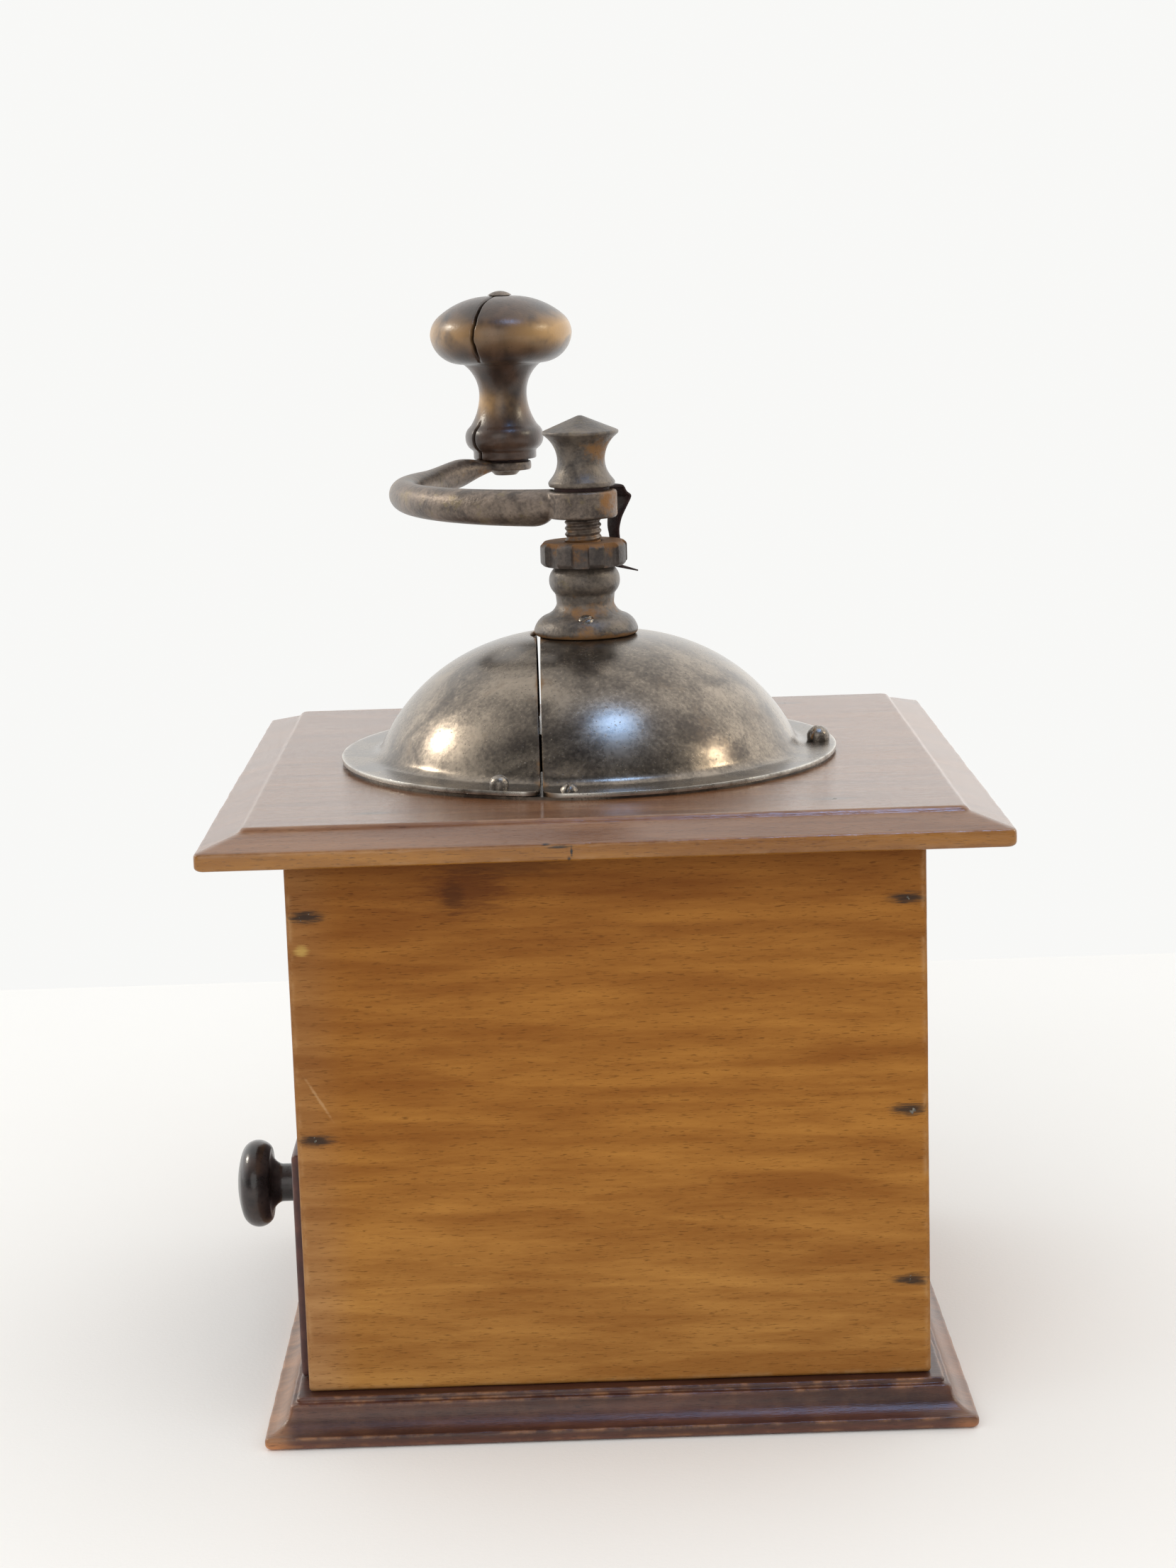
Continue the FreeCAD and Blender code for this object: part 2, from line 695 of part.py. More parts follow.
def make_hopper():
    """Funnel, fixed dome with its screws, and the lid on its pivot. Returns what is driven into the board."""
    screw_y = "sqrt(pow(screw_circle; 2) - pow(dome_screw_x; 2))"
    pivot_x = "lid_pivot_x"
    pivot_y = "(-sqrt(pow(screw_circle; 2) - pow(lid_pivot_x; 2)))"
    seat = f"{FLANGE} + dome_sheet"
    screws = []
    for name, head, rise, x, y in (
        ("dome_screw_near", "dome_screw_head", "dome_screw_rise", "dome_screw_x", f"-{screw_y}"),
        ("dome_screw_far", "dome_screw_head", "dome_screw_rise", "dome_screw_x", screw_y),
        ("dome_screw_back", "stud_head", "stud_rise", "screw_circle", "0"),
    ):
        screw = headed(name, head, rise, "dome_screw_shank", "dome_screw_length")
        screws.append(put(screw, f"mill_axis_x + {x}", y, seat))
    reach = "dome_screw_length + lid_lift + pivot_head_gap"
    pivot = headed("lid_pivot", "pivot_head", "pivot_rise", "dome_screw_shank", reach)
    put(pivot, f"mill_axis_x + {pivot_x}", pivot_y, f"{seat} + lid_lift + pivot_head_gap")

    bottom = "funnel_end_gap - board_edge - board_slope_drop - board_field_rise"
    funnel = turned("hopper_funnel", [
        ("funnel_mouth + funnel_sheet", "0"),
        ("funnel_rim", "0"),
        ("funnel_rim", "funnel_sheet"),
        ("funnel_mouth", "funnel_sheet"),
        ("funnel_throat", bottom),
        ("funnel_throat + funnel_sheet", bottom),
    ])
    put(funnel, "mill_axis_x", "0", BOARD_TOP)
    fitted("hopper_funnel", funnel, screws + [pivot])

    shell = dome_body("dome_shell")
    shell_edge = "slit_gap / 2 - slit_at"
    part_dome(shell, "-dome_flange - dome_sheet", shell_edge, shell_edge)
    put(shell, "mill_axis_x", "0", FLANGE)
    fitted("dome_shell", shell, screws)

    lid = dome_body("dome_lid")
    lid_edge = "-slit_gap / 2 - slit_at"
    part_dome(lid, lid_edge, "dome_flange + dome_sheet", lid_edge)
    notch = new_sketch(lid, "lid_collar_notch", lift="dome_rise + dome_sheet")
    circle(notch, "collar_bell + lid_collar_gap")
    drill(lid, notch)
    hole = new_sketch(lid, "lid_pivot_hole", lift="dome_rise + dome_sheet")
    circle(hole, "dome_screw_shank + pin_run", pivot_x, pivot_y)
    drill(lid, hole)
    ajar_x = f"mill_axis_x + {pivot_x} - ({pivot_x} * cos(lid_ajar) - {pivot_y} * sin(lid_ajar))"
    ajar_y = f"{pivot_y} - ({pivot_x} * sin(lid_ajar) + {pivot_y} * cos(lid_ajar))"
    keep("dome_lid", put(lid, ajar_x, ajar_y, f"{FLANGE} + lid_lift", UP, "lid_ajar"))
    return screws + [pivot]


def make_collar():
    """The cast bearing collar on top of the dome, with a slanted screw on each side."""
    screws = []
    for side, sign, angle in (("near", "-", "45"), ("far", "", "-45")):
        length = "2 * collar_screw_head"
        name = f"collar_screw_{side}"
        screw = headed(name, "collar_screw_head", "collar_screw_rise", "collar_screw_shank", length)
        seat = f"{CROWN} + collar_screw_seat"
        put(screw, "mill_axis_x", f"{sign}collar_screw_circle", seat, ALONG_X, angle)
        screws.append(screw)
    collar = turned("bearing_collar", [
        ("spindle_radius + bearing_run", "-collar_spigot_length"),
        ("collar_spigot", "-collar_spigot_length"),
        ("collar_spigot", "0"),
        ("collar_foot", "0"),
        ("collar_bell", "collar_bell_at"),
        ("collar_shoulder", "collar_shoulder_at", "collar_bell_round", "round"),
        ("collar_neck", "collar_neck_at", "collar_neck_round", "hollow"),
        ("collar_bulb_foot", "collar_bulb_foot_at"),
        ("collar_bulb", "collar_bulb_at", "collar_bulb_round", "round"),
        ("collar_top", "collar_height", "collar_bulb_round", "round"),
        ("spindle_radius + bearing_run", "collar_height"),
    ])
    put(collar, "mill_axis_x", "0", CROWN)
    fitted("bearing_collar", collar, screws)


def make_nut_and_spring():
    """The notched adjusting nut, and the leaf spring whose claw clicks into its notches."""
    bore = "spindle_radius + bearing_run"
    nut = turned("adjusting_nut", [
        (bore, "0"),
        ("nut_radius - nut_chamfer", "0"),
        ("nut_radius", "nut_chamfer"),
        ("nut_radius", "nut_height - nut_chamfer"),
        ("nut_radius - nut_chamfer", "nut_height"),
        (bore, "nut_height"),
    ])
    notch = new_sketch(nut, "nut_notch", lift="nut_height")
    half_notch = "nut_notch_width / 2"
    rectangle(notch, "nut_notch_floor", f"-{half_notch}", "nut_radius + nut_chamfer", half_notch)
    round_pattern(nut, drill(nut, notch), "nut_notches")
    keep("adjusting_nut", put(nut, "mill_axis_x", "0", NUT_BASE, UP, "nut_turn"))

    spring = new_body("click_spring")
    eye = new_sketch(spring, "spring_eye")
    circle(eye, "spring_back")
    pad(spring, eye, "spring_sheet")
    bend_x = "spring_reach - spring_sheet - spring_shoulder"
    leaf = new_sketch(spring, "spring_leaf", "XZ_Plane")
    outline(leaf, [
        ("spindle_square + spring_sheet", "0"),
        ("spindle_square + spring_sheet", "spring_sheet"),
        (bend_x, "spring_sheet"),
        ("spring_reach", "-spring_shoulder", "spring_shoulder + spring_sheet", "hollow"),
        ("spring_claw_radius + spring_sheet", "-spring_claw_top"),
        ("spring_claw_radius + spring_sheet", "-spring_claw_end"),
        ("spring_tail_reach", "-spring_tail_drop"),
        ("spring_tail_reach", "-spring_tail_drop - spring_sheet / 2"),
        ("spring_claw_radius", "-spring_claw_end - spring_sheet"),
        ("spring_claw_radius", "-spring_claw_top"),
        ("spring_reach - spring_sheet", "-spring_shoulder"),
        (bend_x, "0", "spring_shoulder", "round"),
    ])
    pad(spring, leaf, "spring_width", both_ways=True)
    for side, sign in (("near", "-"), ("far", "")):
        waste = new_sketch(spring, f"spring_taper_{side}", "YZ_Plane")
        low = "-spring_tail_drop - spring_width"
        outline(waste, [
            (f"{sign}spring_claw_width / 2", "-spring_claw_top"),
            (f"{sign}spring_claw_width / 2", low),
            (f"{sign}spring_width", low),
            (f"{sign}spring_width", "-spring_shoulder"),
            (f"{sign}spring_width / 2", "-spring_shoulder"),
        ])
        drill(spring, waste, upward=True)
    hole = new_sketch(spring, "spring_hole", lift="spring_sheet")
    circle(hole, "spindle_square")
    drill(spring, hole, "spring_sheet")
    keep("click_spring", put(spring, "mill_axis_x", "0", SPRING_BASE, UP, "nut_turn"))


def make_crank(spindle, pin):
    """The crank arm: a hub, a tapering round bar swept along a climbing arc, and a flat pad for the knob."""
    climb = FreeCAD.Placement(
        FreeCAD.Vector(size("mill_axis_x"), 0, size(f"{HUB_BASE} + arm_height")),
        FreeCAD.Rotation(ALONG_X, size("arm_climb")),
    )
    bend = size("arm_bend")
    start_turn = math.degrees(math.asin(size("arm_start") / bend))
    spine = doc.addObject("Part::Circle", "arm_spine")
    bind(spine, Radius="arm_bend")
    end_turn = size("arm_sweep") - math.degrees(math.asin(size("arm_end") / bend))
    spine.Angle1 = 270 - end_turn
    spine.Angle2 = 270 - start_turn
    spine.Placement = climb.multiply(FreeCAD.Placement(FreeCAD.Vector(0, bend, 0), FreeCAD.Rotation()))
    rings = []
    ends = (("arm_tip_ring", "arm_tip", end_turn), ("arm_root_ring", "arm_root", start_turn))
    for name, radius, turn in ends:
        ring = doc.addObject("Part::Circle", name)
        bind(ring, Radius=radius)
        way = FreeCAD.Rotation(UP, -turn).multiply(FreeCAD.Rotation(ALONG_Y, 90))
        around = math.radians(turn)
        spot = FreeCAD.Vector(-bend * math.sin(around), bend * (1 - math.cos(around)), 0)
        ring.Placement = climb.multiply(FreeCAD.Placement(spot, way))
        rings.append(ring)
    bar = doc.addObject("Part::Sweep", "arm_bar")
    bar.Sections = rings
    bar.Spine = (spine, ["Edge1"])
    bar.Solid = True
    bar.Frenet = True
    root = doc.addObject("Part::Sphere", "arm_root_ball")
    bind(root, Radius="arm_swell")
    root.Placement = FreeCAD.Placement(rings[1].Placement.Base, FreeCAD.Rotation())
    hub = doc.addObject("Part::Cylinder", "arm_hub")
    put(bind(hub, Radius="hub_radius", Height="hub_height"), "mill_axis_x", "0", HUB_BASE)
    flat = doc.addObject("Part::Cylinder", "arm_pad")
    put(bind(flat, Radius="pad_radius", Height="pad_thick"), KNOB_X, KNOB_Y, f"{HUB_BASE} + pad_height")
    arm = doc.addObject("Part::MultiFuse", "arm_forging")
    arm.Shapes = [hub, bar, root, flat]
    fitted("crank_arm", arm, [spindle, pin])


def make_finial():
    """The pointed nut that holds the crank on the spindle."""
    finial = turned("finial_nut", [
        ("spindle_end", "0"),
        ("finial_foot", "0"),
        ("finial_bead", "finial_bead_at"),
        ("finial_foot - finial_rim_thick", "finial_bead_top"),
        ("finial_waist", "finial_waist_at", "finial_foot_cove", "hollow"),
        ("finial_rim", "finial_rim_at", "finial_rim_cove", "hollow"),
        ("finial_rim", "finial_rim_at + finial_rim_thick"),
        ("finial_tip", "finial_height"),
        ("0", "finial_height"),
        ("0", "finial_bore"),
        ("spindle_end", "finial_bore"),
    ])
    keep("finial_nut", put(finial, "mill_axis_x", "0", FINIAL_BASE))


def make_knob():
    """The turned knob with its washer, and the riveted pin that it spins on. Returns the pin."""
    foot = f"{PAD_TOP} - pad_thick"
    top = f"{KNOB_BASE} + knob_height + knob_gap - ({foot})"
    cap = "(pow(pin_cap; 2) + pow(pin_cap_rise; 2)) / (2 * pin_cap_rise)"
    pin = keep("knob_pin", turned("knob_pin", [
        ("0", "-pin_foot_thick"),
        ("pin_foot - pin_foot_thick", "-pin_foot_thick"),
        ("pin_foot", "0"),
        ("pin_radius", "0"),
        ("pin_radius", top),
        ("pin_cap", top),
        ("0", f"{top} + pin_cap_rise", cap, "round"),
    ]))
    put(pin, KNOB_X, KNOB_Y, foot)
    washer = turned("knob_washer", [
        ("pin_radius", "0"),
        ("washer_radius", "0"),
        ("washer_radius", "washer_thick"),
        ("pin_radius", "washer_thick"),
    ])
    keep("knob_washer", put(washer, KNOB_X, KNOB_Y, PAD_TOP))
    bore = "pin_radius + pin_run"
    knob = turned("crank_knob", [
        (bore, "0"),
        ("knob_step", "0"),
        ("knob_step", "knob_step_top"),
        ("knob_bead", "knob_bead_at", "knob_bead_round", "round"),
        ("knob_cove", "knob_bead_top", "knob_bead_round", "round"),
        ("knob_neck", "knob_neck_at", "knob_foot_cove", "hollow"),
        ("knob_under", "knob_under_at", "knob_head_cove", "hollow"),
        ("knob_head", "knob_head_at", "knob_under_round", "round"),
        ("knob_shoulder", "knob_shoulder_at", "knob_rim_round", "round"),
        ("knob_crown", "knob_height", "knob_crown_round", "round"),
        (bore, "knob_height"),
    ])
    keep("crank_knob", put(knob, KNOB_X, KNOB_Y, KNOB_BASE))
    return pin


def make_spindle():
    """The spindle, from its lower pivot to the thread of the finial. Returns it before it is drilled."""
    cone = f"({CONE_BASE}) - ({SPINDLE_BASE})"
    hub = f"({HUB_BASE}) - ({SPINDLE_BASE})"
    finial = f"({FINIAL_BASE}) - ({SPINDLE_BASE})"
    end = f"{finial} + finial_bore - finial_tip"
    spindle = turned("spindle", [
        ("0", "0"),
        ("spindle_pivot", "0"),
        ("spindle_pivot", f"{cone} - spindle_collar_thick"),
        ("spindle_collar", f"{cone} - spindle_collar_thick"),
        ("spindle_collar", cone),
        ("spindle_seat", cone),
        ("spindle_seat", f"{cone} + cone_height"),
        ("spindle_radius", f"{cone} + cone_height"),
        ("spindle_radius", hub),
        ("spindle_square", hub),
        ("spindle_square", finial),
        ("spindle_end", finial),
        ("spindle_end", end),
        ("0", end),
    ])
    return put(spindle, "mill_axis_x", "0", SPINDLE_BASE)


def groove(body, name, low, high, low_radius, high_radius, deep, half_angle, skew):
    """One V-shaped groove down a cone, turned by a skew between its two ends."""
    sections = []
    ends = ((low, low_radius, GROOVE_TURN), (high, high_radius, f"{GROOVE_TURN} + {skew}"))
    for index, (lift, radius, turn) in enumerate(ends):
        section = new_sketch(body, f"{name}_{index}", lift=lift)
        corners = []
        for reach, way in ((f"{radius} + {deep[0]}", "0"), (f"{radius} + {deep[1]}", half_angle),
                           (f"{radius} + {deep[1]}", f"-{half_angle}")):
            corners.append((f"({reach}) * cos({turn} + ({way}))", f"({reach}) * sin({turn} + ({way}))"))
        outline(section, corners)
        sections.append(section)
    cut = body.newObject("PartDesign::SubtractiveLoft", name)
    cut.Profile = sections[0]
    cut.Sections = [sections[1]]
    cut.Ruled = True
    return cut


def make_burrs(spindle, yoke_screws):
    """The grinding pair: a ring toothed inside and a cone with fine teeth below and feed flutes above."""
    screws = []
    for index in range(RING_SCREWS):
        name = f"ring_screw_{index + 1}"
        angle = f"360 / {RING_SCREWS} * {index + 0.5}"
        length = "ring_flange_thick + works_screw_bite"
        screw = headed(name, "works_screw_head", "works_screw_rise", "works_screw_shank", length)
        x = f"mill_axis_x + ring_screw_circle * cos({angle})"
        put(screw, x, f"ring_screw_circle * sin({angle})", f"{BOX_TOP} - ring_flange_thick", ALONG_X, "180")
        screws.append(screw)
    ring = turned("burr_ring", [
        ("ring_bottom", "0"),
        ("ring_body", "0"),
        ("ring_body", "ring_height - ring_flange_thick"),
        ("ring_flange", "ring_height - ring_flange_thick"),
        ("ring_flange", "ring_height"),
        ("ring_top", "ring_height"),
        ("ring_waist", "ring_waist_at"),
    ])
    overrun = "ring_tooth_deep / 4"
    slope = "(ring_bottom - ring_waist) / ring_waist_at"
    tooth = groove(ring, "ring_tooth", f"-{overrun}", "ring_waist_at", f"ring_bottom + {overrun} * {slope}",
                   "ring_waist", ("ring_tooth_deep", "(-ring_tooth_deep / 2)"),
                   f"{TOOTH_COVER} / ring_teeth", "ring_tooth_skew")
    round_pattern(ring, tooth, "ring_teeth")
    put(ring, "mill_axis_x", "0", RING_BASE)
    fitted("burr_ring", ring, screws + yoke_screws)

    pin = doc.addObject("Part::Cylinder", "burr_pin_rod")
    bind(pin, Radius="burr_pin", Height="burr_pin_length")
    put(pin, "mill_axis_x - burr_pin_length / 2", "0", f"{CONE_BASE} + burr_pin_at", ALONG_Y, "90")
    keep("burr_pin", pin)
    cone = turned("burr_cone", [
        ("spindle_seat", "0"),
        ("cone_bottom", "0"),
        ("cone_bottom", "cone_skirt"),
        ("cone_top", "cone_height"),
        ("spindle_seat", "cone_height"),
    ])
    slant = "(cone_bottom - cone_top) / (cone_height - cone_skirt)"
    fine = groove(cone, "cone_tooth", "-cone_tooth_deep / 4", "cone_tooth_top", "cone_bottom",
                  f"cone_bottom - (cone_tooth_top - cone_skirt) * {slant}",
                  ("(-cone_tooth_deep)", "cone_tooth_deep / 2"),
                  f"{TOOTH_COVER} / cone_teeth", "cone_tooth_skew")
    round_pattern(cone, fine, "cone_teeth")
    flute = groove(cone, "cone_flute", "cone_flute_foot", "cone_height + cone_tooth_deep / 4",
                   f"cone_bottom - (cone_flute_foot - cone_skirt) * {slant}", "cone_top",
                   ("(-cone_flute_deep)", f"cone_flute_deep * {FLUTE_REACH}"),
                   f"{FLUTE_COVER} / cone_flutes", "cone_flute_skew")
    round_pattern(cone, flute, "cone_flutes")
    put(cone, "mill_axis_x", "0", CONE_BASE)
    fitted("burr_cone", cone, [pin])
    fitted("spindle", spindle, [pin])
    return screws


def make_yoke():
    """The strap under the burr ring's flange, whose cross bar carries the spindle. Returns its screws."""
    seat = f"{BOX_TOP} - ring_flange_thick"
    inside = "(ring_body + yoke_ring_gap)"
    leg = f"({inside} + yoke_strap)"
    foot = f"({leg} + yoke_foot)"
    screws = []
    for side, sign in (("near", "-"), ("far", "")):
        name = f"yoke_screw_{side}"
        length = "yoke_strap + ring_flange_thick + works_screw_bite"
        screw = headed(name, "works_screw_head", "works_screw_rise", "works_screw_shank", length)
        y = f"{sign}({leg} + yoke_foot / 2)"
        put(screw, "mill_axis_x", y, f"{seat} - yoke_strap", ALONG_X, "180")
        screws.append(screw)
    yoke = new_body("lower_yoke")
    strap = new_sketch(yoke, "yoke_strap_line", "YZ_Plane")
    drop = "(ring_flange_thick - yoke_drop)"
    bottom = f"{drop} - yoke_bar"
    outline(strap, [
        (f"-{foot}", "0"),
        (f"-{inside}", "0"),
        (f"-{inside}", drop),
        (inside, drop),
        (inside, "0"),
        (foot, "0"),
        (foot, "-yoke_strap"),
        (leg, "-yoke_strap"),
        (leg, bottom),
        (f"-{leg}", bottom),
        (f"-{leg}", "-yoke_strap"),
        (f"-{foot}", "-yoke_strap"),
    ])
    pad(yoke, strap, "yoke_width", both_ways=True)
    bearing = new_sketch(yoke, "yoke_bearing")
    circle(bearing, "spindle_pivot + bearing_run")
    drill(yoke, bearing)
    put(yoke, "mill_axis_x", "0", seat)
    fitted("lower_yoke", yoke, screws)
    return screws


board_fasteners = make_case()
make_drawer()
board_fasteners += make_hopper()
make_collar()
make_nut_and_spring()
spindle_blank = make_spindle()
make_crank(spindle_blank, make_knob())
make_finial()
yoke_screws = make_yoke()
board_fasteners += yoke_screws
board_fasteners += make_burrs(spindle_blank, yoke_screws)
make_board(board_fasteners)
doc.recompute()

for item in doc.Objects:
    if "Invalid" in item.State or "Error" in item.State:
        raise RuntimeError(f"{item.Name} did not build: {item.State}")
os.makedirs("parts", exist_ok=True)
for name, item in nodes.items():
    shape = item.Shape
    if shape.isNull() or not shape.isValid() or not shape.Solids:
        raise RuntimeError(f"{name} has no sound solid")
    shape.exportStep(f"parts/{name}.step")
    print(f"{name}: {len(shape.Solids)} solid, {shape.Volume / 1000:.2f} cm3")
print(f"{len(nodes)} sub-parts")
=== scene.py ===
# %% [markdown]
# # A hand crank coffee mill
# An old kitchen mill: a nailed wooden box with a drawer, a steel dome over the bean funnel and an iron crank.
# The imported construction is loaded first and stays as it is. Each visible piece is then drawn again over its
# solid as a surface worked out with numpy, with the worn edges and the finish that the real one has.

# %% Load the frame and keep its box
import bmesh
import bpy
import numpy as np
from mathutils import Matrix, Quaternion, Vector


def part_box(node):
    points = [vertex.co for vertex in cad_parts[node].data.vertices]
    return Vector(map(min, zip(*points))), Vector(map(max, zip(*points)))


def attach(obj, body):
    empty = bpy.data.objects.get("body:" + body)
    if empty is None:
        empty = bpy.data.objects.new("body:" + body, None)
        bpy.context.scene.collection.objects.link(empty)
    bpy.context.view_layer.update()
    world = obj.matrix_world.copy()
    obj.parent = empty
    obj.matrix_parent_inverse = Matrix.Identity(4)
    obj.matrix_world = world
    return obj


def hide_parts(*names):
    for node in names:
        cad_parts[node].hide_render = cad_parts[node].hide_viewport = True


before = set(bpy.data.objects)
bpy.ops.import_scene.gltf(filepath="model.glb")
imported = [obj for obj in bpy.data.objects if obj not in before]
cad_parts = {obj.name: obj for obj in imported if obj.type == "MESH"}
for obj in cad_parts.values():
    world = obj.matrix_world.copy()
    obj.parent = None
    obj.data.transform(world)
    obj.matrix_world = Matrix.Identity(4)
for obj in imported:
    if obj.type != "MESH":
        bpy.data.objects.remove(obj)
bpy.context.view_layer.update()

MM = 0.001


def span(node):
    """Lowest and highest corner of a node at rest, in millimetres."""
    low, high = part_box(node)
    return np.array(low) / MM, np.array(high) / MM


# %% [markdown]
# ## Camera
# A camera can be placed by eye or by a fit. This one was fitted: the corners of the top board and of the base
# were matched to their real sizes, which gives the distance, the tilt and the small roll of a hand-held shot.

# %% Camera
PHOTO_HEIGHT = 2212
FOCAL_PIXELS = 4106
SENSOR = 36.0
CAMERA_SPOT = Vector((-5.7, -631.6, 242.3))
CAMERA_PITCH = np.radians(10.72)
CAMERA_YAW = np.radians(-0.28)
CAMERA_ROLL = np.radians(-1.75)

camera_data = bpy.data.cameras.new("camera")
camera_data.sensor_fit = "VERTICAL"
camera_data.sensor_height = SENSOR
camera_data.lens = FOCAL_PIXELS / PHOTO_HEIGHT * SENSOR
camera = bpy.data.objects.new("camera", camera_data)
bpy.context.scene.collection.objects.link(camera)
level = np.cos(CAMERA_PITCH)
gaze = Vector((-np.sin(CAMERA_YAW) * level, np.cos(CAMERA_YAW) * level, -np.sin(CAMERA_PITCH)))
camera.location = CAMERA_SPOT * MM
camera.rotation_mode = "QUATERNION"
camera.rotation_quaternion = gaze.to_track_quat("-Z", "Y") @ Quaternion((0, 0, 1), CAMERA_ROLL)
bpy.context.scene.camera = camera
bpy.context.scene.view_settings.view_transform = "Standard"
print("camera lens", round(camera_data.lens, 1), "mm")

# %% [markdown]
# ## Mesh from a grid
# Every shape below is a grid of points: rows and columns of one array. Typing faces by hand or joining
# ready-made cylinders would be the other ways, but a grid keeps the shape a formula, and its quads follow
# from the row and column numbers alone. Doubled points at seams and poles are merged, so each shell is closed
# on itself.

# %% Grid helpers
def weave(points, ring=True, first=False, last=False):
    """Points and faces of a grid of rows by columns by three.

    Each quad joins four neighbours. ring joins the last column to the first, and first and last close the
    first and the last row with one flat face.
    """
    rows, columns = points.shape[:2]
    index = np.arange(rows * columns).reshape(rows, columns)
    wrapped = np.hstack([index, index[:, :1]]) if ring else index
    quads = np.stack([wrapped[:-1, :-1], wrapped[:-1, 1:], wrapped[1:, 1:], wrapped[1:, :-1]], axis=-1)
    faces = quads.reshape(-1, 4).tolist()
    if first:
        faces.append(index[0, ::-1].tolist())
    if last:
        faces.append(index[-1].tolist())
    return points.reshape(-1, 3), faces


# %% Mesh and object
MERGE_REACH = 0.001
CREASE = np.radians(40)


def carry(mesh, key, values):
    """Give a mesh one value per point, as an attribute that a finish can read."""
    attribute = mesh.attributes.new(key, "FLOAT", "POINT")
    attribute.data.foreach_set("value", np.ravel(values).astype(np.float32))


def make(name, *shells, masks=None):
    """An object at the origin from shells in millimetres, merged at seams and poles, with faces outward.

    Edges that turn by more than the crease angle stay sharp. masks are values per point, carried by the mesh.
    """
    faces = []
    start = 0
    for points, quads in shells:
        faces += [[start + corner for corner in quad] for quad in quads]
        start += len(points)
    mesh = bpy.data.meshes.new(name)
    mesh.from_pydata(np.concatenate([points for points, _ in shells]) * MM, [], faces)
    for key, values in (masks or {}).items():
        carry(mesh, key, values)
    tidy = bmesh.new()
    tidy.from_mesh(mesh)
    bmesh.ops.remove_doubles(tidy, verts=tidy.verts, dist=MERGE_REACH * MM)
    bmesh.ops.dissolve_degenerate(tidy, edges=tidy.edges, dist=MERGE_REACH / 2 * MM)
    bmesh.ops.recalc_face_normals(tidy, faces=tidy.faces)
    tidy.to_mesh(mesh)
    tidy.free()
    mesh.polygons.foreach_set("use_smooth", np.ones(len(mesh.polygons), dtype=bool))
    mesh.set_sharp_from_angle(angle=CREASE)
    item = bpy.data.objects.new(name, mesh)
    bpy.context.scene.collection.objects.link(item)
    return item


# %% Settling a piece
def settle(item, body, slot, material, *nodes):
    """Give a piece its body, its finish and the nodes that it stands for. slot is not used."""
    item.data.materials.clear()
    item.data.materials.append(material)
    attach(item, body)
    if nodes:
        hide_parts(*nodes)
    print(item.name, "on", body, "with", len(item.data.polygons), "faces")


def cover(node, kind, shell, body, slot, material, **masks):
    """Draw one shell over a node, named after the node and what it is made of, and settle it there."""
    settle(make(f"{node}_{kind}", shell, masks=masks), body, slot, material, node)


# %% [markdown]
# ## Profiles
# Turned work and moulded boards are both a profile carried along a path: round an axis on the lathe, round a
# rectangle on a board. A profile is written as corners and arcs, then read off at even steps and averaged
# with its neighbours. The averaging rounds each arris as years of handling do, and leaves long curves alone.

# %% Profile helpers
ARC_STEPS = 24


def contour(*corners):
    """A profile through corners (across, up), as dense points.

    A third entry makes the way to that corner an arc of that radius: above zero it bulges to the right of the
    way, below zero to the left. The centre lies on the chord's middle line, at the root of radius squared
    less half chord squared.
    """
    points = [np.array([corners[0][:2]], dtype=float)]
    for corner in corners[1:]:
        start = points[-1][-1]
        end = np.array(corner[:2], dtype=float)
        if len(corner) == 2:
            points.append(end[None])
            continue
        chord = end - start
        length = np.hypot(*chord)
        right = np.array([chord[1], -chord[0]]) / length
        turn = np.sign(corner[2])
        centre = (start + end) / 2 - right * turn * np.sqrt(max(corner[2] ** 2 - length ** 2 / 4, 0.0))
        begin = np.arctan2(*(start - centre)[::-1])
        sweep = (np.arctan2(*(end - centre)[::-1]) - begin + np.pi) % (2 * np.pi) - np.pi
        angles = begin + sweep * np.linspace(0, 1, ARC_STEPS + 1)[1:]
        points.append(centre + abs(corner[2]) * np.stack([np.cos(angles), np.sin(angles)], axis=-1))
    return np.concatenate(points)


def worn(profile, step=0.25, blur=0.3):
    """The profile at even steps of its length, averaged with a bell of width blur. Its two ends stay."""
    along = np.concatenate([[0], np.cumsum(np.hypot(*np.diff(profile, axis=0).T))])
    even = np.linspace(0, along[-1], int(along[-1] / step) + 2)
    line = np.stack([np.interp(even, along, profile[:, axis]) for axis in (0, 1)], axis=-1)
    reach = max(int(3 * blur / step), 1)
    shares = np.exp(-0.5 * (np.arange(-reach, reach + 1) * step / blur) ** 2)
    shares /= shares.sum()
    before = 2 * line[0] - line[reach:0:-1]
    after = 2 * line[-1] - line[-2:-reach - 2:-1]
    padded = np.concatenate([before, line, after])
    return np.stack([np.convolve(padded[:, axis], shares, mode="valid") for axis in (0, 1)], axis=-1)


sharp_corner = (5, 0)
sample = worn(contour((0, 0), sharp_corner, (5, 5)))
print("a worn square arris loses", np.hypot(*(sample - sharp_corner).T).min().round(2), "mm")


# %% Turning and placing
def full_turn(columns):
    """Even angles once round, without the last one, which would double the first."""
    return np.linspace(0, 2 * np.pi, columns, endpoint=False)


def spun(radius, angle, height):
    """Points on circles: x and y are the radius times the cosine and the sine of the angle."""
    return np.stack([radius * np.cos(angle), radius * np.sin(angle), height + 0 * angle], axis=-1)


def turned(profile, spot=(0, 0, 0), columns=96):
    """A profile of radius and height spun once round an upright axis through spot."""
    return spun(profile[:, :1], full_turn(columns), profile[:, 1:]) + np.array(spot)


def ring_line(inner, outer, low, high, step, blur):
    """Profile of a plain ring: once round a rectangle from its inner lower corner, then worn."""
    return worn(contour((inner, low), (outer, low), (outer, high), (inner, high), (inner, low)), step, blur)


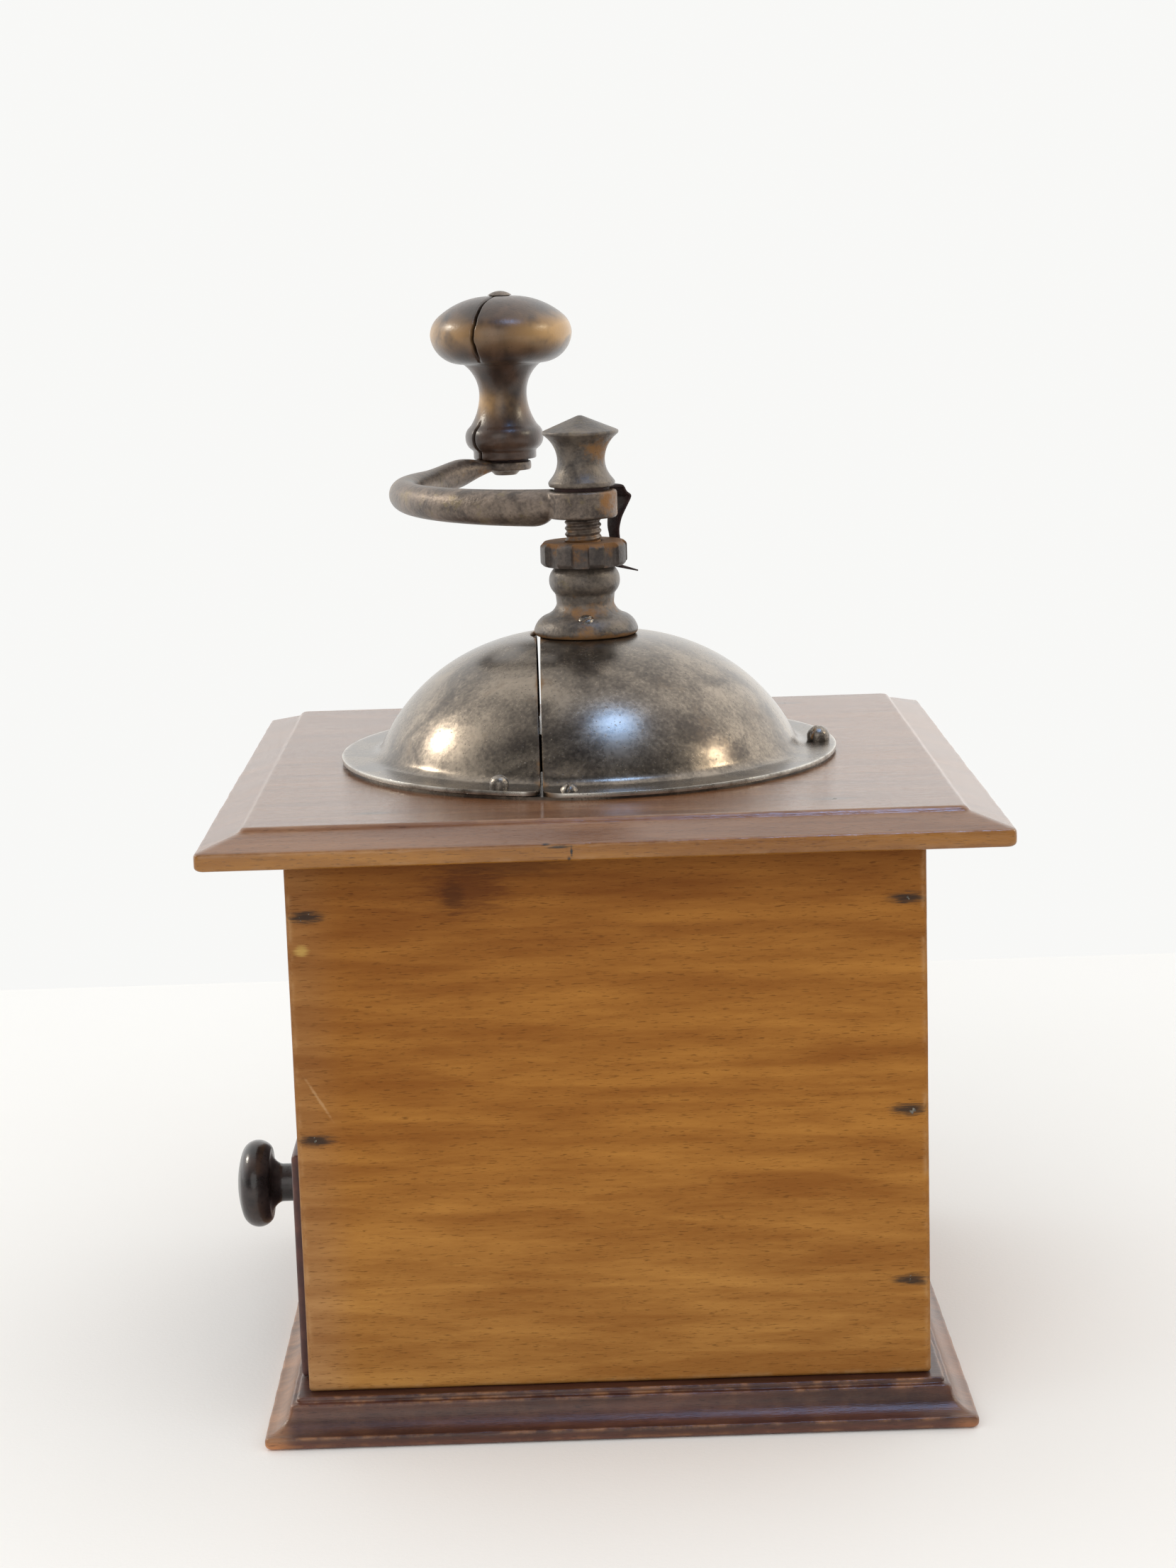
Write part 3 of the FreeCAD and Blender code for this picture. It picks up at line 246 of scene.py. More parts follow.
def aimed(points, spot, way):
    """Points turned so that their own upright axis points along way, then moved to spot."""
    turn = np.array(Vector((0, 0, 1)).rotation_difference(Vector(way)).to_matrix())
    return points @ turn.T + np.array(spot)


def swung(points, angle, spot):
    """Points turned about the upright axis by an angle, then moved to spot."""
    x, y, z = np.moveaxis(points, -1, 0)
    c, s = np.cos(angle), np.sin(angle)
    return np.stack([x * c - y * s, x * s + y * c, z], axis=-1) + np.array(spot)


# %% Uneven and fading values
def ripple(points, length, seed):
    """Smooth uneven values between about -1 and 1: eight sine waves with seeded ways and phases, added up."""
    random = np.random.default_rng(seed)
    ways = random.normal(size=(8, 3)) * 2 * np.pi / length
    phases = random.uniform(0, 2 * np.pi, 8)
    return np.sin(points @ ways.T + phases).sum(axis=-1) / 4


def bell(distance, reach):
    """1 at no distance, less on both sides: e to the power of minus the square of distance over reach."""
    return np.exp(-(distance / reach) ** 2)


def fading(distance, reach):
    """1 at no distance, and e times less for every reach away from it on either side."""
    return np.exp(-np.abs(distance) / reach)


# %% [markdown]
# ## Finishes
# A finish is a small graph of nodes. Two ways were open: a painted picture, or noise worked out at every
# point. Noise has no seams and no pixels, and it reads the object's own coordinates, so each finish sits
# still on its piece. Two helper classes keep the graphs short: a method adds a node and returns its output.

# %% Graph helper
class Graph:
    """A graph of nodes under construction."""

    def __init__(self, tree):
        self.tree = tree

    def add(self, kind, sockets=(), **settings):
        """A node with its settings, and its sockets linked or set."""
        node = self.tree.nodes.new(kind)
        for key, value in settings.items():
            setattr(node, key, value)
        for key, value in dict(sockets).items():
            if isinstance(value, bpy.types.NodeSocket):
                self.tree.links.new(value, node.inputs[key])
            else:
                node.inputs[key].default_value = value
        return node

    def vector(self, operation, first, second=(0, 0, 0), third=(0, 0, 0), scale=1.0):
        """One step of vector arithmetic."""
        sockets = {0: first, 1: second, 2: third, 3: scale}
        node = self.add("ShaderNodeVectorMath", sockets, operation=operation)
        return node.outputs["Value" if operation in ("LENGTH", "DOT_PRODUCT") else "Vector"]

    def sum(self, operation, first, second=0.0, third=0.0, clamp=False):
        """One step of arithmetic."""
        sockets = {0: first, 1: second, 2: third}
        return self.add("ShaderNodeMath", sockets, operation=operation, use_clamp=clamp).outputs[0]

    def times(self, first, second, clamp=False):
        """One value times another."""
        return self.sum("MULTIPLY", first, second, clamp=clamp)

    def plus(self, first, second, clamp=False):
        """One value and another, added."""
        return self.sum("ADD", first, second, clamp=clamp)

    def ramp(self, value, low, high):
        """0 below low, 1 above high and smooth between. low may be above high."""
        sockets = {"Value": value, "From Min": low, "From Max": high}
        return self.add("ShaderNodeMapRange", sockets, interpolation_type="SMOOTHSTEP").outputs[0]

    def spread(self, value, ends, low=0.0, high=1.0):
        """A value that lies between low and high, carried over to between two other ends."""
        sockets = {"Value": value, "From Min": low, "From Max": high, "To Min": ends[0], "To Max": ends[1]}
        return self.add("ShaderNodeMapRange", sockets).outputs[0]

    def mix(self, share, first, second, blend="MIX"):
        """Two colours mixed by a share."""
        as_colour = [(*c, 1.0) if isinstance(c, tuple) else c for c in (first, second)]
        sockets = {0: share, 6: as_colour[0], 7: as_colour[1]}
        return self.add("ShaderNodeMix", sockets, data_type="RGBA", blend_type=blend).outputs[2]


# %% Finish helper
class Finish(Graph):
    """A material under construction. place is the point on the piece, in millimetres."""

    def __init__(self, name):
        self.material = bpy.data.materials.new(name)
        self.material.use_nodes = True
        super().__init__(self.material.node_tree)
        self.shader = self.tree.nodes["Principled BSDF"]
        where = self.add("ShaderNodeTexCoord").outputs["Object"]
        self.place = self.vector("SCALE", where, scale=1 / MM)

    def noise(self, size, stretch=(1, 1, 1), detail=4, rough=0.55, warp=0.0, shift=0.0):
        """Cloudy noise with blots of about size millimetres, drawn out along each axis by stretch."""
        scale = tuple(1 / (size * s) for s in stretch)
        where = self.vector("MULTIPLY_ADD", self.place, scale, (shift, shift * 0.7, -shift))
        sockets = {"Vector": where, "Scale": 1.0, "Detail": detail, "Roughness": rough, "Distortion": warp}
        return self.add("ShaderNodeTexNoise", sockets).outputs["Fac"]

    def away(self, spot, reach, lean=0.0):
        """Distance from a spot as a share of reach, a length along each axis, leaned about y by an angle."""
        sockets = {"Vector": self.place, "Location": tuple(spot), "Rotation": (0, lean, 0), "Scale": reach}
        return self.vector("LENGTH", self.add("ShaderNodeMapping", sockets, vector_type="TEXTURE").outputs[0])

    def along(self, axis):
        """One coordinate of the place: 0, 1 or 2."""
        return self.add("ShaderNodeSeparateXYZ", {0: self.place}).outputs[axis]

    def mask(self, name):
        """A value per point that the piece's own mesh carries."""
        return self.add("ShaderNodeAttribute", attribute_name=name).outputs["Fac"]

    def done(self, colour, rough, bumps=(), **settings):
        """Connect colour and roughness, and stack the bumps, as pairs of height and depth in millimetres."""
        self.tree.links.new(colour, self.shader.inputs["Base Color"])
        self.tree.links.new(rough, self.shader.inputs["Roughness"])
        for key, value in settings.items():
            self.shader.inputs[key].default_value = value
        normal = None
        for height, depth in bumps:
            sockets = {"Height": height, "Distance": depth * MM, "Strength": 1.0}
            if normal is not None:
                sockets["Normal"] = normal
            normal = self.add("ShaderNodeBump", sockets).outputs["Normal"]
        if normal is not None:
            self.tree.links.new(normal, self.shader.inputs["Normal"])
        return self.material


# %% [markdown]
# ## Light and floor
# Lamps alone could light the mill, but they would cast hard shadows. Here an even white room does most of it,
# and the room is the world. A warm lamp at each side and cool daylight from above only make highlights: each
# is aimed from the direction whose mirror image shows on the dome. A wide soft lamp in front also lights the
# wood. For polished steel the room is dimmer towards the viewer, so that there is something dark to mirror,
# and the camera always sees it white. The floor is one flat face just under the base, and no part of the mill.

# %% Lamps
MILL_MIDDLE = Vector((0, 0, 0.12))
# Per lamp: the way to it from the mill, its distance and width in metres, its power in watts and its colour.
LAMPS = {
    "left_lamp": ((-0.81, 0.26, 0.53), 1.0, 0.13, 3.2, (1.0, 0.93, 0.80)),
    "right_lamp": ((0.83, -0.11, 0.55), 1.0, 0.10, 1.9, (1.0, 0.88, 0.66)),
    "day_window": ((0.18, -0.27, 0.95), 1.1, 0.26, 2.8, (0.28, 0.52, 1.0)),
    "front_fill": ((-0.25, -0.9, 0.36), 1.6, 1.3, 5.6, (1.0, 0.98, 0.95)),
}
for name, (way, distance, width, power, colour) in LAMPS.items():
    lamp_data = bpy.data.lights.new(name, "AREA")
    lamp_data.shape = "DISK"
    lamp_data.size = width
    lamp_data.energy = power
    lamp_data.color = colour
    lamp = bpy.data.objects.new(name, lamp_data)
    bpy.context.scene.collection.objects.link(lamp)
    lamp.location = MILL_MIDDLE + Vector(way).normalized() * distance
    lamp.rotation_mode = "QUATERNION"
    lamp.rotation_quaternion = Vector(way).to_track_quat("Z", "Y")
    lamp.visible_diffuse = name == "front_fill"
print("lamps:", ", ".join(LAMPS))

# %% World
AMBIENT = 1.05
SEEN_WHITE = 0.94
ROOM_DARK = 0.12
ROOM_BRIGHT = 1.3
ROOM_FALL = (-0.52, 0.25)
SIDE_SHIFT = 0.15
SIDE_GAIN = 1.55
SIDE_FALL = (0.2, 0.7)
world = bpy.data.worlds.new("pale_room")
bpy.context.scene.world = world
world.use_nodes = True
room = Graph(world.node_tree)
facing = room.add("ShaderNodeSeparateXYZ", {0: room.add("ShaderNodeTexCoord").outputs["Generated"]}).outputs
depth = room.spread(facing[1], (ROOM_DARK, ROOM_BRIGHT), *ROOM_FALL)
sideways = room.sum("ABSOLUTE", room.plus(facing[0], SIDE_SHIFT))
sides = room.spread(sideways, (1.0, SIDE_GAIN), *SIDE_FALL)
rays = room.add("ShaderNodeLightPath").outputs
mirrored = room.sum("MAXIMUM", rays["Is Glossy Ray"], rays["Is Transmission Ray"])
lit = room.add("ShaderNodeMix", {0: mirrored, 2: AMBIENT, 3: room.times(depth, sides)}).outputs[0]
shown = room.add("ShaderNodeMix", {0: rays["Is Camera Ray"], 2: lit, 3: SEEN_WHITE}).outputs[0]
backdrop = world.node_tree.nodes["Background"]
backdrop.inputs["Color"].default_value = (1.0, 1.0, 0.985, 1.0)
world.node_tree.links.new(shown, backdrop.inputs["Strength"])
print("world:", len(world.node_tree.nodes), "nodes, ambient", AMBIENT)

# %% Floor
FLOOR_REACH = 1500
FLOOR_BACK = 312
FLOOR_DROP = 0.05


def make_floor_finish():
    """A pale floor: nearly white, with faint wide clouds and a fine tooth."""
    pale = Finish("pale_floor")
    clouds = pale.noise(120, detail=3)
    tooth = pale.noise(0.9, detail=2)
    colour = pale.mix(clouds, (0.89, 0.881, 0.867), (0.92, 0.915, 0.905))
    return pale.done(colour, pale.ramp(tooth, -1.0, 1.0), [(tooth, 0.04)], **{"Specular IOR Level": 0.1})


floor_x, floor_y = np.meshgrid([-FLOOR_REACH, FLOOR_REACH], [-FLOOR_REACH, FLOOR_BACK])
floor = make("floor", weave(np.stack([floor_x, floor_y, 0 * floor_x - FLOOR_DROP], axis=-1), ring=False))
floor.data.materials.append(make_floor_finish())
print("floor:", FLOOR_BACK, "mm deep behind the mill")

# %% [markdown]
# ## Wood
# The case is old fruitwood, oiled and varnished: a honey brown box, a top board whose varnish has gone grey
# and a base stained nearly black. Grain is noise drawn out along the board. Three sizes of it are laid over
# each other: wide bands, fine lines and short dark flecks. Faint growth rings wander through them. Worn
# arrises come from a mask that the mesh carries.

# %% Wood finish
RING_WIDTH = 11.0
RING_WANDER = 19.0


def make_wood(name, grain, dark, light, worn_tint, fleck=0.5, gloss=(0.34, 0.5), rub=0.6, spots=(), zones=(),
              **settings):
    """Wood with its grain along axis number grain.

    spots are stains: place, reach, tint, strength and sometimes a lean. zones are (axis, from, to, tint) and
    multiply the colour by a tint that fades in between two places.
    """
    wood = Finish(name)
    far = np.ones(3)
    far[grain] = 9.0
    wave = np.ones(3)
    wave[grain] = 3.5
    across = np.array([0.8, 0.8, 1.0])
    across[grain] = 0.10
    wide = wood.noise(9, far, detail=3, warp=0.6)
    line = wood.noise(0.9, 4.0 * far, detail=5, rough=0.68, warp=0.15, shift=3)
    short = wood.noise(0.42, 0.6 * far, detail=2, rough=0.6, shift=7)
    cloud = wood.noise(38, wave, detail=2, shift=11)
    ragged = wood.noise(1.5, 0.35 * far, detail=4, rough=0.7, shift=19)
    wobble = wood.noise(34, wave, detail=2, rough=0.4, shift=23)
    through = wood.vector("DOT_PRODUCT", wood.place, tuple(across))
    field = wood.sum("MULTIPLY_ADD", wobble, RING_WANDER, through)
    growth = wood.sum("FRACT", wood.sum("DIVIDE", field, RING_WIDTH))
    figure = wood.times(wood.ramp(growth, 0.0, 0.85), wood.ramp(growth, 1.0, 0.9))
    tone = wood.plus(wood.times(wide, 0.22), wood.times(line, 0.50))
    tone = wood.plus(tone, wood.times(cloud, 0.35))
    tone = wood.sum("SUBTRACT", tone, wood.times(figure, 0.055))
    colour = wood.mix(wood.ramp(tone, 0.32, 0.74), dark, light)
    colour = wood.mix(wood.times(wood.ramp(short, 0.58, 0.70), fleck), colour, tuple(c * 0.45 for c in dark))
    for axis, start, end, tint in zones:
        tinted = wood.mix(1.0, colour, tint, "MULTIPLY")
        colour = wood.mix(wood.ramp(wood.along(axis), start, end), colour, tinted)
    for place, reach, tint, strength, *lean in spots:
        frayed = wood.plus(wood.away(place, reach, *lean), wood.times(ragged, 1.4))
        colour = wood.mix(wood.times(wood.ramp(frayed, 1.6, 0.9), strength, clamp=True), colour, tint)
    patchy = wood.ramp(wood.noise(6, detail=5, rough=0.65, shift=5), 0.42, 0.66)
    bare = wood.times(wood.times(wood.mask("wear"), patchy), rub, clamp=True)
    colour = wood.mix(bare, colour, worn_tint)
    return wood.done(colour, wood.spread(cloud, gloss), [(line, 0.05), (short, 0.05)], **settings)


# %% Board outline
CORNER_STEPS = 7


def ringed(half, corner, side):
    """Rounded rectangles, one per row of half sizes: four straight runs joined by quarter circles."""
    corner = np.minimum(corner, half.min(axis=1) * 0.98)[:, None]
    turn = np.linspace(0, np.pi / 2, CORNER_STEPS)
    run = np.linspace(-1, 1, side + 2)[1:-1]
    pieces = []
    for quarter in range(4):
        wide, tall = (half[:, 1:], half[:, :1]) if quarter % 2 else (half[:, :1], half[:, 1:])
        bow = np.stack([wide - corner * (1 - np.cos(turn)), tall - corner * (1 - np.sin(turn))], axis=-1)
        edge = np.stack([-run * (wide - corner), tall + 0 * run], axis=-1)
        c, s = np.cos(quarter * np.pi / 2).round(), np.sin(quarter * np.pi / 2).round()
        pieces.append(np.concatenate([bow, edge], axis=1) @ np.array([[c, s], [-s, c]]))
    return np.concatenate(pieces, axis=1)


# %% Board shape
HOLE_ROWS = 12
# Drawn boards stay this much inside their solids, so that the mill doesn't outgrow its own box.
BOARD_SHY = 0.004


def board(node, up, profile, corner=0.8, blur=0.35, step=0.3, dents=0.12, seed=1, side=90, hole=None):
    """A board over its node whose edge profile, as inset and height along axis up, goes round it.

    Point = rounded rectangle of the half sizes less the inset, at the profile's height. The wear mask is high
    where the profile turns sharply, and there the wood is dented by a ripple. hole is the middle and the
    radius of a round hole, and more rows after the profile blend from the rectangle to its circle.
    """
    low, high = span(node)
    axes = [axis for axis in range(3) if axis != up]
    middle = (low + high) / 2
    half = ((high - low) / 2)[axes] - BOARD_SHY
    line = worn(profile, step, blur)
    bend = np.linalg.norm(np.gradient(np.gradient(line, axis=0), axis=0), axis=1) / step ** 2
    wear = np.clip(bend * blur * 2.2, 0, 1)
    loops = ringed(half - line[:, :1], corner, side)
    points = np.zeros(loops.shape[:2] + (3,))
    points[..., axes] = loops + middle[axes]
    points[..., up] = line[:, 1:] + low[up]
    push = dents * wear[:, None] * (1 + ripple(points, 14, seed)) / 2
    push += dents * wear[:, None] * np.clip(ripple(points, 4, seed + 1) - 0.55, 0, None)
    toward = middle - points
    toward[..., up] *= 2
    toward /= np.linalg.norm(toward, axis=-1, keepdims=True)
    points += toward * push[..., None]
    mask = np.repeat(wear, loops.shape[1])
    if hole is None:
        return weave(points, first=True, last=True), mask
    centre, radius = hole
    around = np.arctan2(points[-1, :, axes[1]] - centre[1], points[-1, :, axes[0]] - centre[0])
    circle = np.stack([np.cos(around), np.sin(around)], axis=-1) * radius + np.array(centre)
    share = np.linspace(0, 1, HOLE_ROWS)[:, None, None]
    top = np.zeros((HOLE_ROWS,) + points.shape[1:])
    top[..., axes] = points[-1][:, axes] * (1 - share) + circle * share
    top[..., up] = points[-1, :, up]
    under = top[::-1].copy()
    under[..., up] = points[0, :, up]
    under[-1] = points[0]
    whole = np.concatenate([points, top[1:], under])
    return weave(whole), np.concatenate([mask, np.zeros((2 * HOLE_ROWS - 1) * loops.shape[1])])


# %% Laying a board
def lay(node, body, slot, material, up, profile, **shape):
    """Draw a board over its node and settle it there."""
    shell, wear = board(node, up, profile, **shape)
    cover(node, "wood", shell, body, slot, material, wear=wear)


def plank(node, up, inner=9.0, round_edge=0.6):
    """Edge profile of a plain board: out along its back, round, across its thickness and in again."""
    low, high = span(node)
    thick = high[up] - low[up]
    return contour((inner, 0), (round_edge, 0), (0, round_edge, round_edge), (0, thick - round_edge),
                   (round_edge, thick, round_edge), (inner, thick))


# %% [markdown]
# ## Case
# Four panels butt together under the top board, nailed from the sides. Each is a plank whose arrises have
# been rubbed round. The near and far panels overlap the ends of the front and back ones, as on the real box.
# Iron stains the wood, so each nail has a dark blot round its head.

# %% Nail places and stains
STAIN = (0.030, 0.022, 0.018)
side_nails = [f"side_nail_{side}_{index}" for side in ("near", "far") for index in range(1, 6)]
board_nails = [f"board_nail_{side}_{end}" for side in ("near", "far") for end in ("front", "back")]


def nail_head(node):
    """The middle of a nail's head and the way that it faces: up on the board, outward on a panel."""
    low, high = span(node)
    spot = (low + high) / 2
    if node in board_nails:
        spot[2] = high[2]
        return spot, (0, 0, 1)
    out = np.sign(spot[1])
    spot[1] = out * max(abs(low[1]), abs(high[1]))
    return spot, (0, out, 0)


nail_stains = [(nail_head(nail)[0], (5.6, 3.0, 2.0), STAIN, 0.92) for nail in side_nails]
print("nails:", len(side_nails), "in the panels,", len(board_nails), "in the top board")

# %% Panels
HONEY = ((0.195, 0.067, 0.011), (0.365, 0.160, 0.032), (0.38, 0.22, 0.10))
PANEL_UP = {"side_panel_near": 1, "side_panel_far": 1, "front_panel": 0, "back_panel": 0}
MATT = {"Specular IOR Level": 0.08}
SCRATCH_LEAN = np.radians(-30)
panel_low, panel_high = span("side_panel_near")
near_face = panel_low[1]
scratch_up = nail_stains[1][0][2] + 8.7
SIDE_SPOTS = nail_stains + [
    ((-28, near_face, 114), (13, 4, 8), (0.075, 0.020, 0.006), 0.6),
    ((-20, near_face, 119), (22, 4, 4), (0.08, 0.028, 0.009), 0.5),
    ((-30.5, near_face, 113.0), (3.4, 3, 5.5), (0.040, 0.014, 0.006), 0.45),
    ((-61.4, near_face, 102.6), (2.2, 2, 1.7), (0.40, 0.25, 0.07), 0.9),
    ((-59.3, near_face, scratch_up), (0.5, 2, 7.5), (0.44, 0.27, 0.13), 0.5, SCRATCH_LEAN),
]
PANEL_ZONES = [
    (2, panel_low[2] + 75, panel_high[2], (0.80, 0.74, 0.72)),
    (2, panel_low[2] + 60, panel_low[2] - 10, (1.15, 1.32, 1.75)),
    (0, panel_low[0] + 12, panel_low[0] + 1, (1.0, 1.12, 1.8)),
]
panel_sides = make_wood("honey_panel", 0, *HONEY, 0.6, (0.45, 0.6), 0.8, SIDE_SPOTS, PANEL_ZONES, **MATT)
panel_ends = make_wood("honey_panel_end", 1, *HONEY, 0.6, (0.45, 0.6), 0.8, (), PANEL_ZONES, **MATT)
for number, (node, up) in enumerate(PANEL_UP.items()):
    panel_wood = panel_sides if up == 1 else panel_ends
    lay(node, "case", "panel_wood", panel_wood, up, plank(node, up), seed=number + 1)

# %% [markdown]
# The top board has a long sloped edge under a raised field, and a round hole for the funnel under the dome.
# The base is the same idea upside down: a field that carries the box, and a quarter round down to the floor.

# %% Top board
TOP_EDGE = 3.53
SLOPE_RUN = 8.0
SLOPE_RISE = 2.4
FIELD_INSET = 8.85
BEAN_HOLE = 27.0
CRACK_TINT = (0.012, 0.008, 0.006)
# Per crack in the near edge: its place along the edge and above its foot, its reach both ways, its strength.
EDGE_CRACKS = [(-9.0, 3.0, 3.6, 0.5, 1.0), (-11.6, 3.5, 1.3, 0.4, 1.0), (-6.6, 2.0, 0.42, 1.7, 1.0),
               (-7.1, 0.5, 0.6, 0.9, 0.9)]
board_low, board_high = span("top_board")
board_thick = board_high[2] - board_low[2]
axis_x = np.mean(span("hopper_funnel"), axis=0)[0]
profile = contour((1.2, 0), (0.5, 0), (0, 0.5, 0.5), (0, TOP_EDGE), (SLOPE_RUN, TOP_EDGE + SLOPE_RISE),
                  (FIELD_INSET - 0.5, board_thick - 0.45), (FIELD_INSET, board_thick),
                  (FIELD_INSET + 5, board_thick))
edge_top = board_low[2] + TOP_EDGE
EDGE_ZONES = [(2, edge_top + 0.2, edge_top - 0.4, (1.28, 1.15, 0.36))]
board_spots = [((*nail_head(nail)[0][:2], board_high[2]), (6.5, 1.6, 3.0), STAIN, 0.8)
               for nail in board_nails]
board_spots += [((x, board_low[1], board_low[2] + up), (long, 1.5, tall), CRACK_TINT, strength)
                for x, up, long, tall, strength in EDGE_CRACKS]
board_wood = make_wood("greyed_board", 0, (0.122, 0.048, 0.021), (0.252, 0.122, 0.058), (0.32, 0.18, 0.085),
                       0.6, (0.17, 0.27), 0.45, board_spots, EDGE_ZONES, **{"Specular IOR Level": 0.56})
lay("top_board", "case", "board_wood", board_wood, 2, profile, corner=1.2, blur=0.3, step=0.22, dents=0.22,
    seed=11, side=150, hole=((axis_x, 0.0), BEAN_HOLE))

# %% Base
BASE_ROUND = 5.0
BASE_FIELD_INSET = 6.2
BASE_FIELD_RISE = 1.15
base_low, base_high = span("base_plate")
base_thick = base_high[2] - base_low[2]
base_shelf = base_thick - BASE_FIELD_RISE
profile = contour((8, 0), (0.6, 0), (0, 0.6, 0.6), (0, base_shelf - BASE_ROUND),
                  (BASE_ROUND, base_shelf, BASE_ROUND), (BASE_FIELD_INSET, base_shelf),
                  (BASE_FIELD_INSET, base_thick), (16, base_thick))
BASE_ZONES = [
    (2, 2.4, 0.2, (1.8, 1.6, 1.4)),
    (0, base_low[0] + 7, base_low[0] + 2, (3.6, 4.4, 2.8)),
    (0, base_high[0] - 7, base_high[0] - 2, (2.6, 3.0, 2.1)),
]
base_wood = make_wood("dark_base", 0, (0.036, 0.013, 0.009), (0.118, 0.044, 0.028), (0.28, 0.125, 0.045),
                      0.6, (0.26, 0.42), 0.75, (), BASE_ZONES)
lay("base_plate", "case", "base_wood", base_wood, 2, profile, corner=1.0, blur=0.3, step=0.22, dents=0.25,
    seed=21, side=150)

# %% [markdown]
# ## Drawer
# The drawer front stands a little proud of the box and is coloured a very dark maroon. Its box is plain
# unfinished wood, seen only when it is pulled out. The knob is turned and polished nearly black.

# %% Drawer boards
RAW = ((0.30, 0.17, 0.075), (0.52, 0.34, 0.18), (0.45, 0.30, 0.17))
MAROON = ((0.030, 0.007, 0.006), (0.080, 0.022, 0.016), (0.18, 0.07, 0.04))
front_wood = make_wood("maroon_front", 1, *MAROON, 0.4)
box_wood = make_wood("raw_box", 0, *RAW, 0.3, (0.6, 0.8))
cross_wood = make_wood("raw_box_cross", 1, *RAW, 0.3, (0.6, 0.8))
DRAWER_INNER = 5.4
DRAWER_ARRIS = 0.4
DRAWER_BOARDS = {
    "drawer_front": (0, front_wood, "drawer_front_wood"),
    "drawer_floor": (2, box_wood, "drawer_box_wood"),
    "drawer_side_near": (1, box_wood, "drawer_box_wood"),
    "drawer_side_far": (1, box_wood, "drawer_box_wood"),
    "drawer_back": (0, cross_wood, "drawer_box_wood"),
}
for number, (node, (up, material, slot)) in enumerate(DRAWER_BOARDS.items()):
    profile = plank(node, up, DRAWER_INNER, DRAWER_ARRIS)
    lay(node, "drawer", slot, material, up, profile, corner=0.5, blur=0.25, seed=30 + number, side=60)


# %% Turned wood finish
CRACK_DARK = (0.004, 0.003, 0.002)


def make_polish(name, dark, light, rub, rub_band, gloss, axis=2):
    """Turned wood, dark with polish: streaks of tone along the axis, patches lighter in a band where the wear
    mask is high: rubbed wood, and on the crank knob painted highlight too.
    """
    polish = Finish(name)
    along = [2.5, 2.5, 2.5]
    along[axis] = 6.0
    streak = polish.noise(1.6, along, detail=5, rough=0.6, warp=0.4)
    cloud = polish.noise(7, detail=3, shift=4)
    spot = polish.noise(0.5, detail=2, shift=9)
    tone = polish.plus(polish.times(streak, 0.5), polish.times(cloud, 0.6))
    colour = polish.mix(polish.ramp(tone, 0.35, 0.80), dark, light)
    specks = polish.times(polish.ramp(spot, 0.62, 0.75), 0.6)
    colour = polish.mix(specks, colour, tuple(c * 0.3 for c in dark))
    rubbed = polish.times(polish.mask("wear"), polish.ramp(cloud, *rub_band), clamp=True)
    colour = polish.mix(rubbed, colour, rub)
    colour = polish.mix(polish.mask("crack"), colour, CRACK_DARK)
    return polish.done(colour, polish.spread(spot, gloss), [(streak, 0.04), (spot, 0.03)])


# %% Drawer knob
PULL_COLUMNS = 112
pull_low, pull_high = span("drawer_knob")
front_face = span("drawer_front")[0][0]
PULL_LENGTH = front_face - pull_low[0]
PULL_HEAD = (pull_high[1] - pull_low[1]) / 2
profile = worn(contour((0, -6), (3.0, -6), (3.0, 0), (6.2, 0), (4.25, 6.5, -10.4), (4.25, 8.0),
                       (8.0, 10.18, -3.2), (PULL_HEAD, 13.3, 3.6), (7.33, PULL_LENGTH - 1.18, 3.6),
                       (0, PULL_LENGTH, 23.3)), 0.22, 0.3)
pull_spot = (front_face, 0, (pull_low[2] + pull_high[2]) / 2)
points = aimed(turned(profile, columns=PULL_COLUMNS), pull_spot, (-1, 0, 0))
rubbed_rim = 0.6 * np.clip((profile[:, 0] / PULL_HEAD - 0.9) * 10, 0, 1)
black_polish = make_polish("black_polish", (0.011, 0.009, 0.009), (0.050, 0.036, 0.034), (0.06, 0.035, 0.025),
                           (0.4, 0.7), (0.16, 0.3), 0)
cover("drawer_knob", "wood", weave(points), "drawer", "drawer_knob_wood", black_polish,
      wear=np.repeat(rubbed_rim, PULL_COLUMNS))


# %% [markdown]
# ## Iron and steel
# Several kinds of metal show. The dome is sheet steel, browned by age, with pits and cloudy patina under a
# hard shine. The castings are grey-brown with rust in every crevice. The forged crank is smoother where hands
# rub it. One recipe serves them all: two tones, rust, bare wear and pits, each with its own strength.

# %% Metal finish
BARE_STEEL = (0.52, 0.49, 0.44)
PIT_DARK = (0.008, 0.006, 0.005)


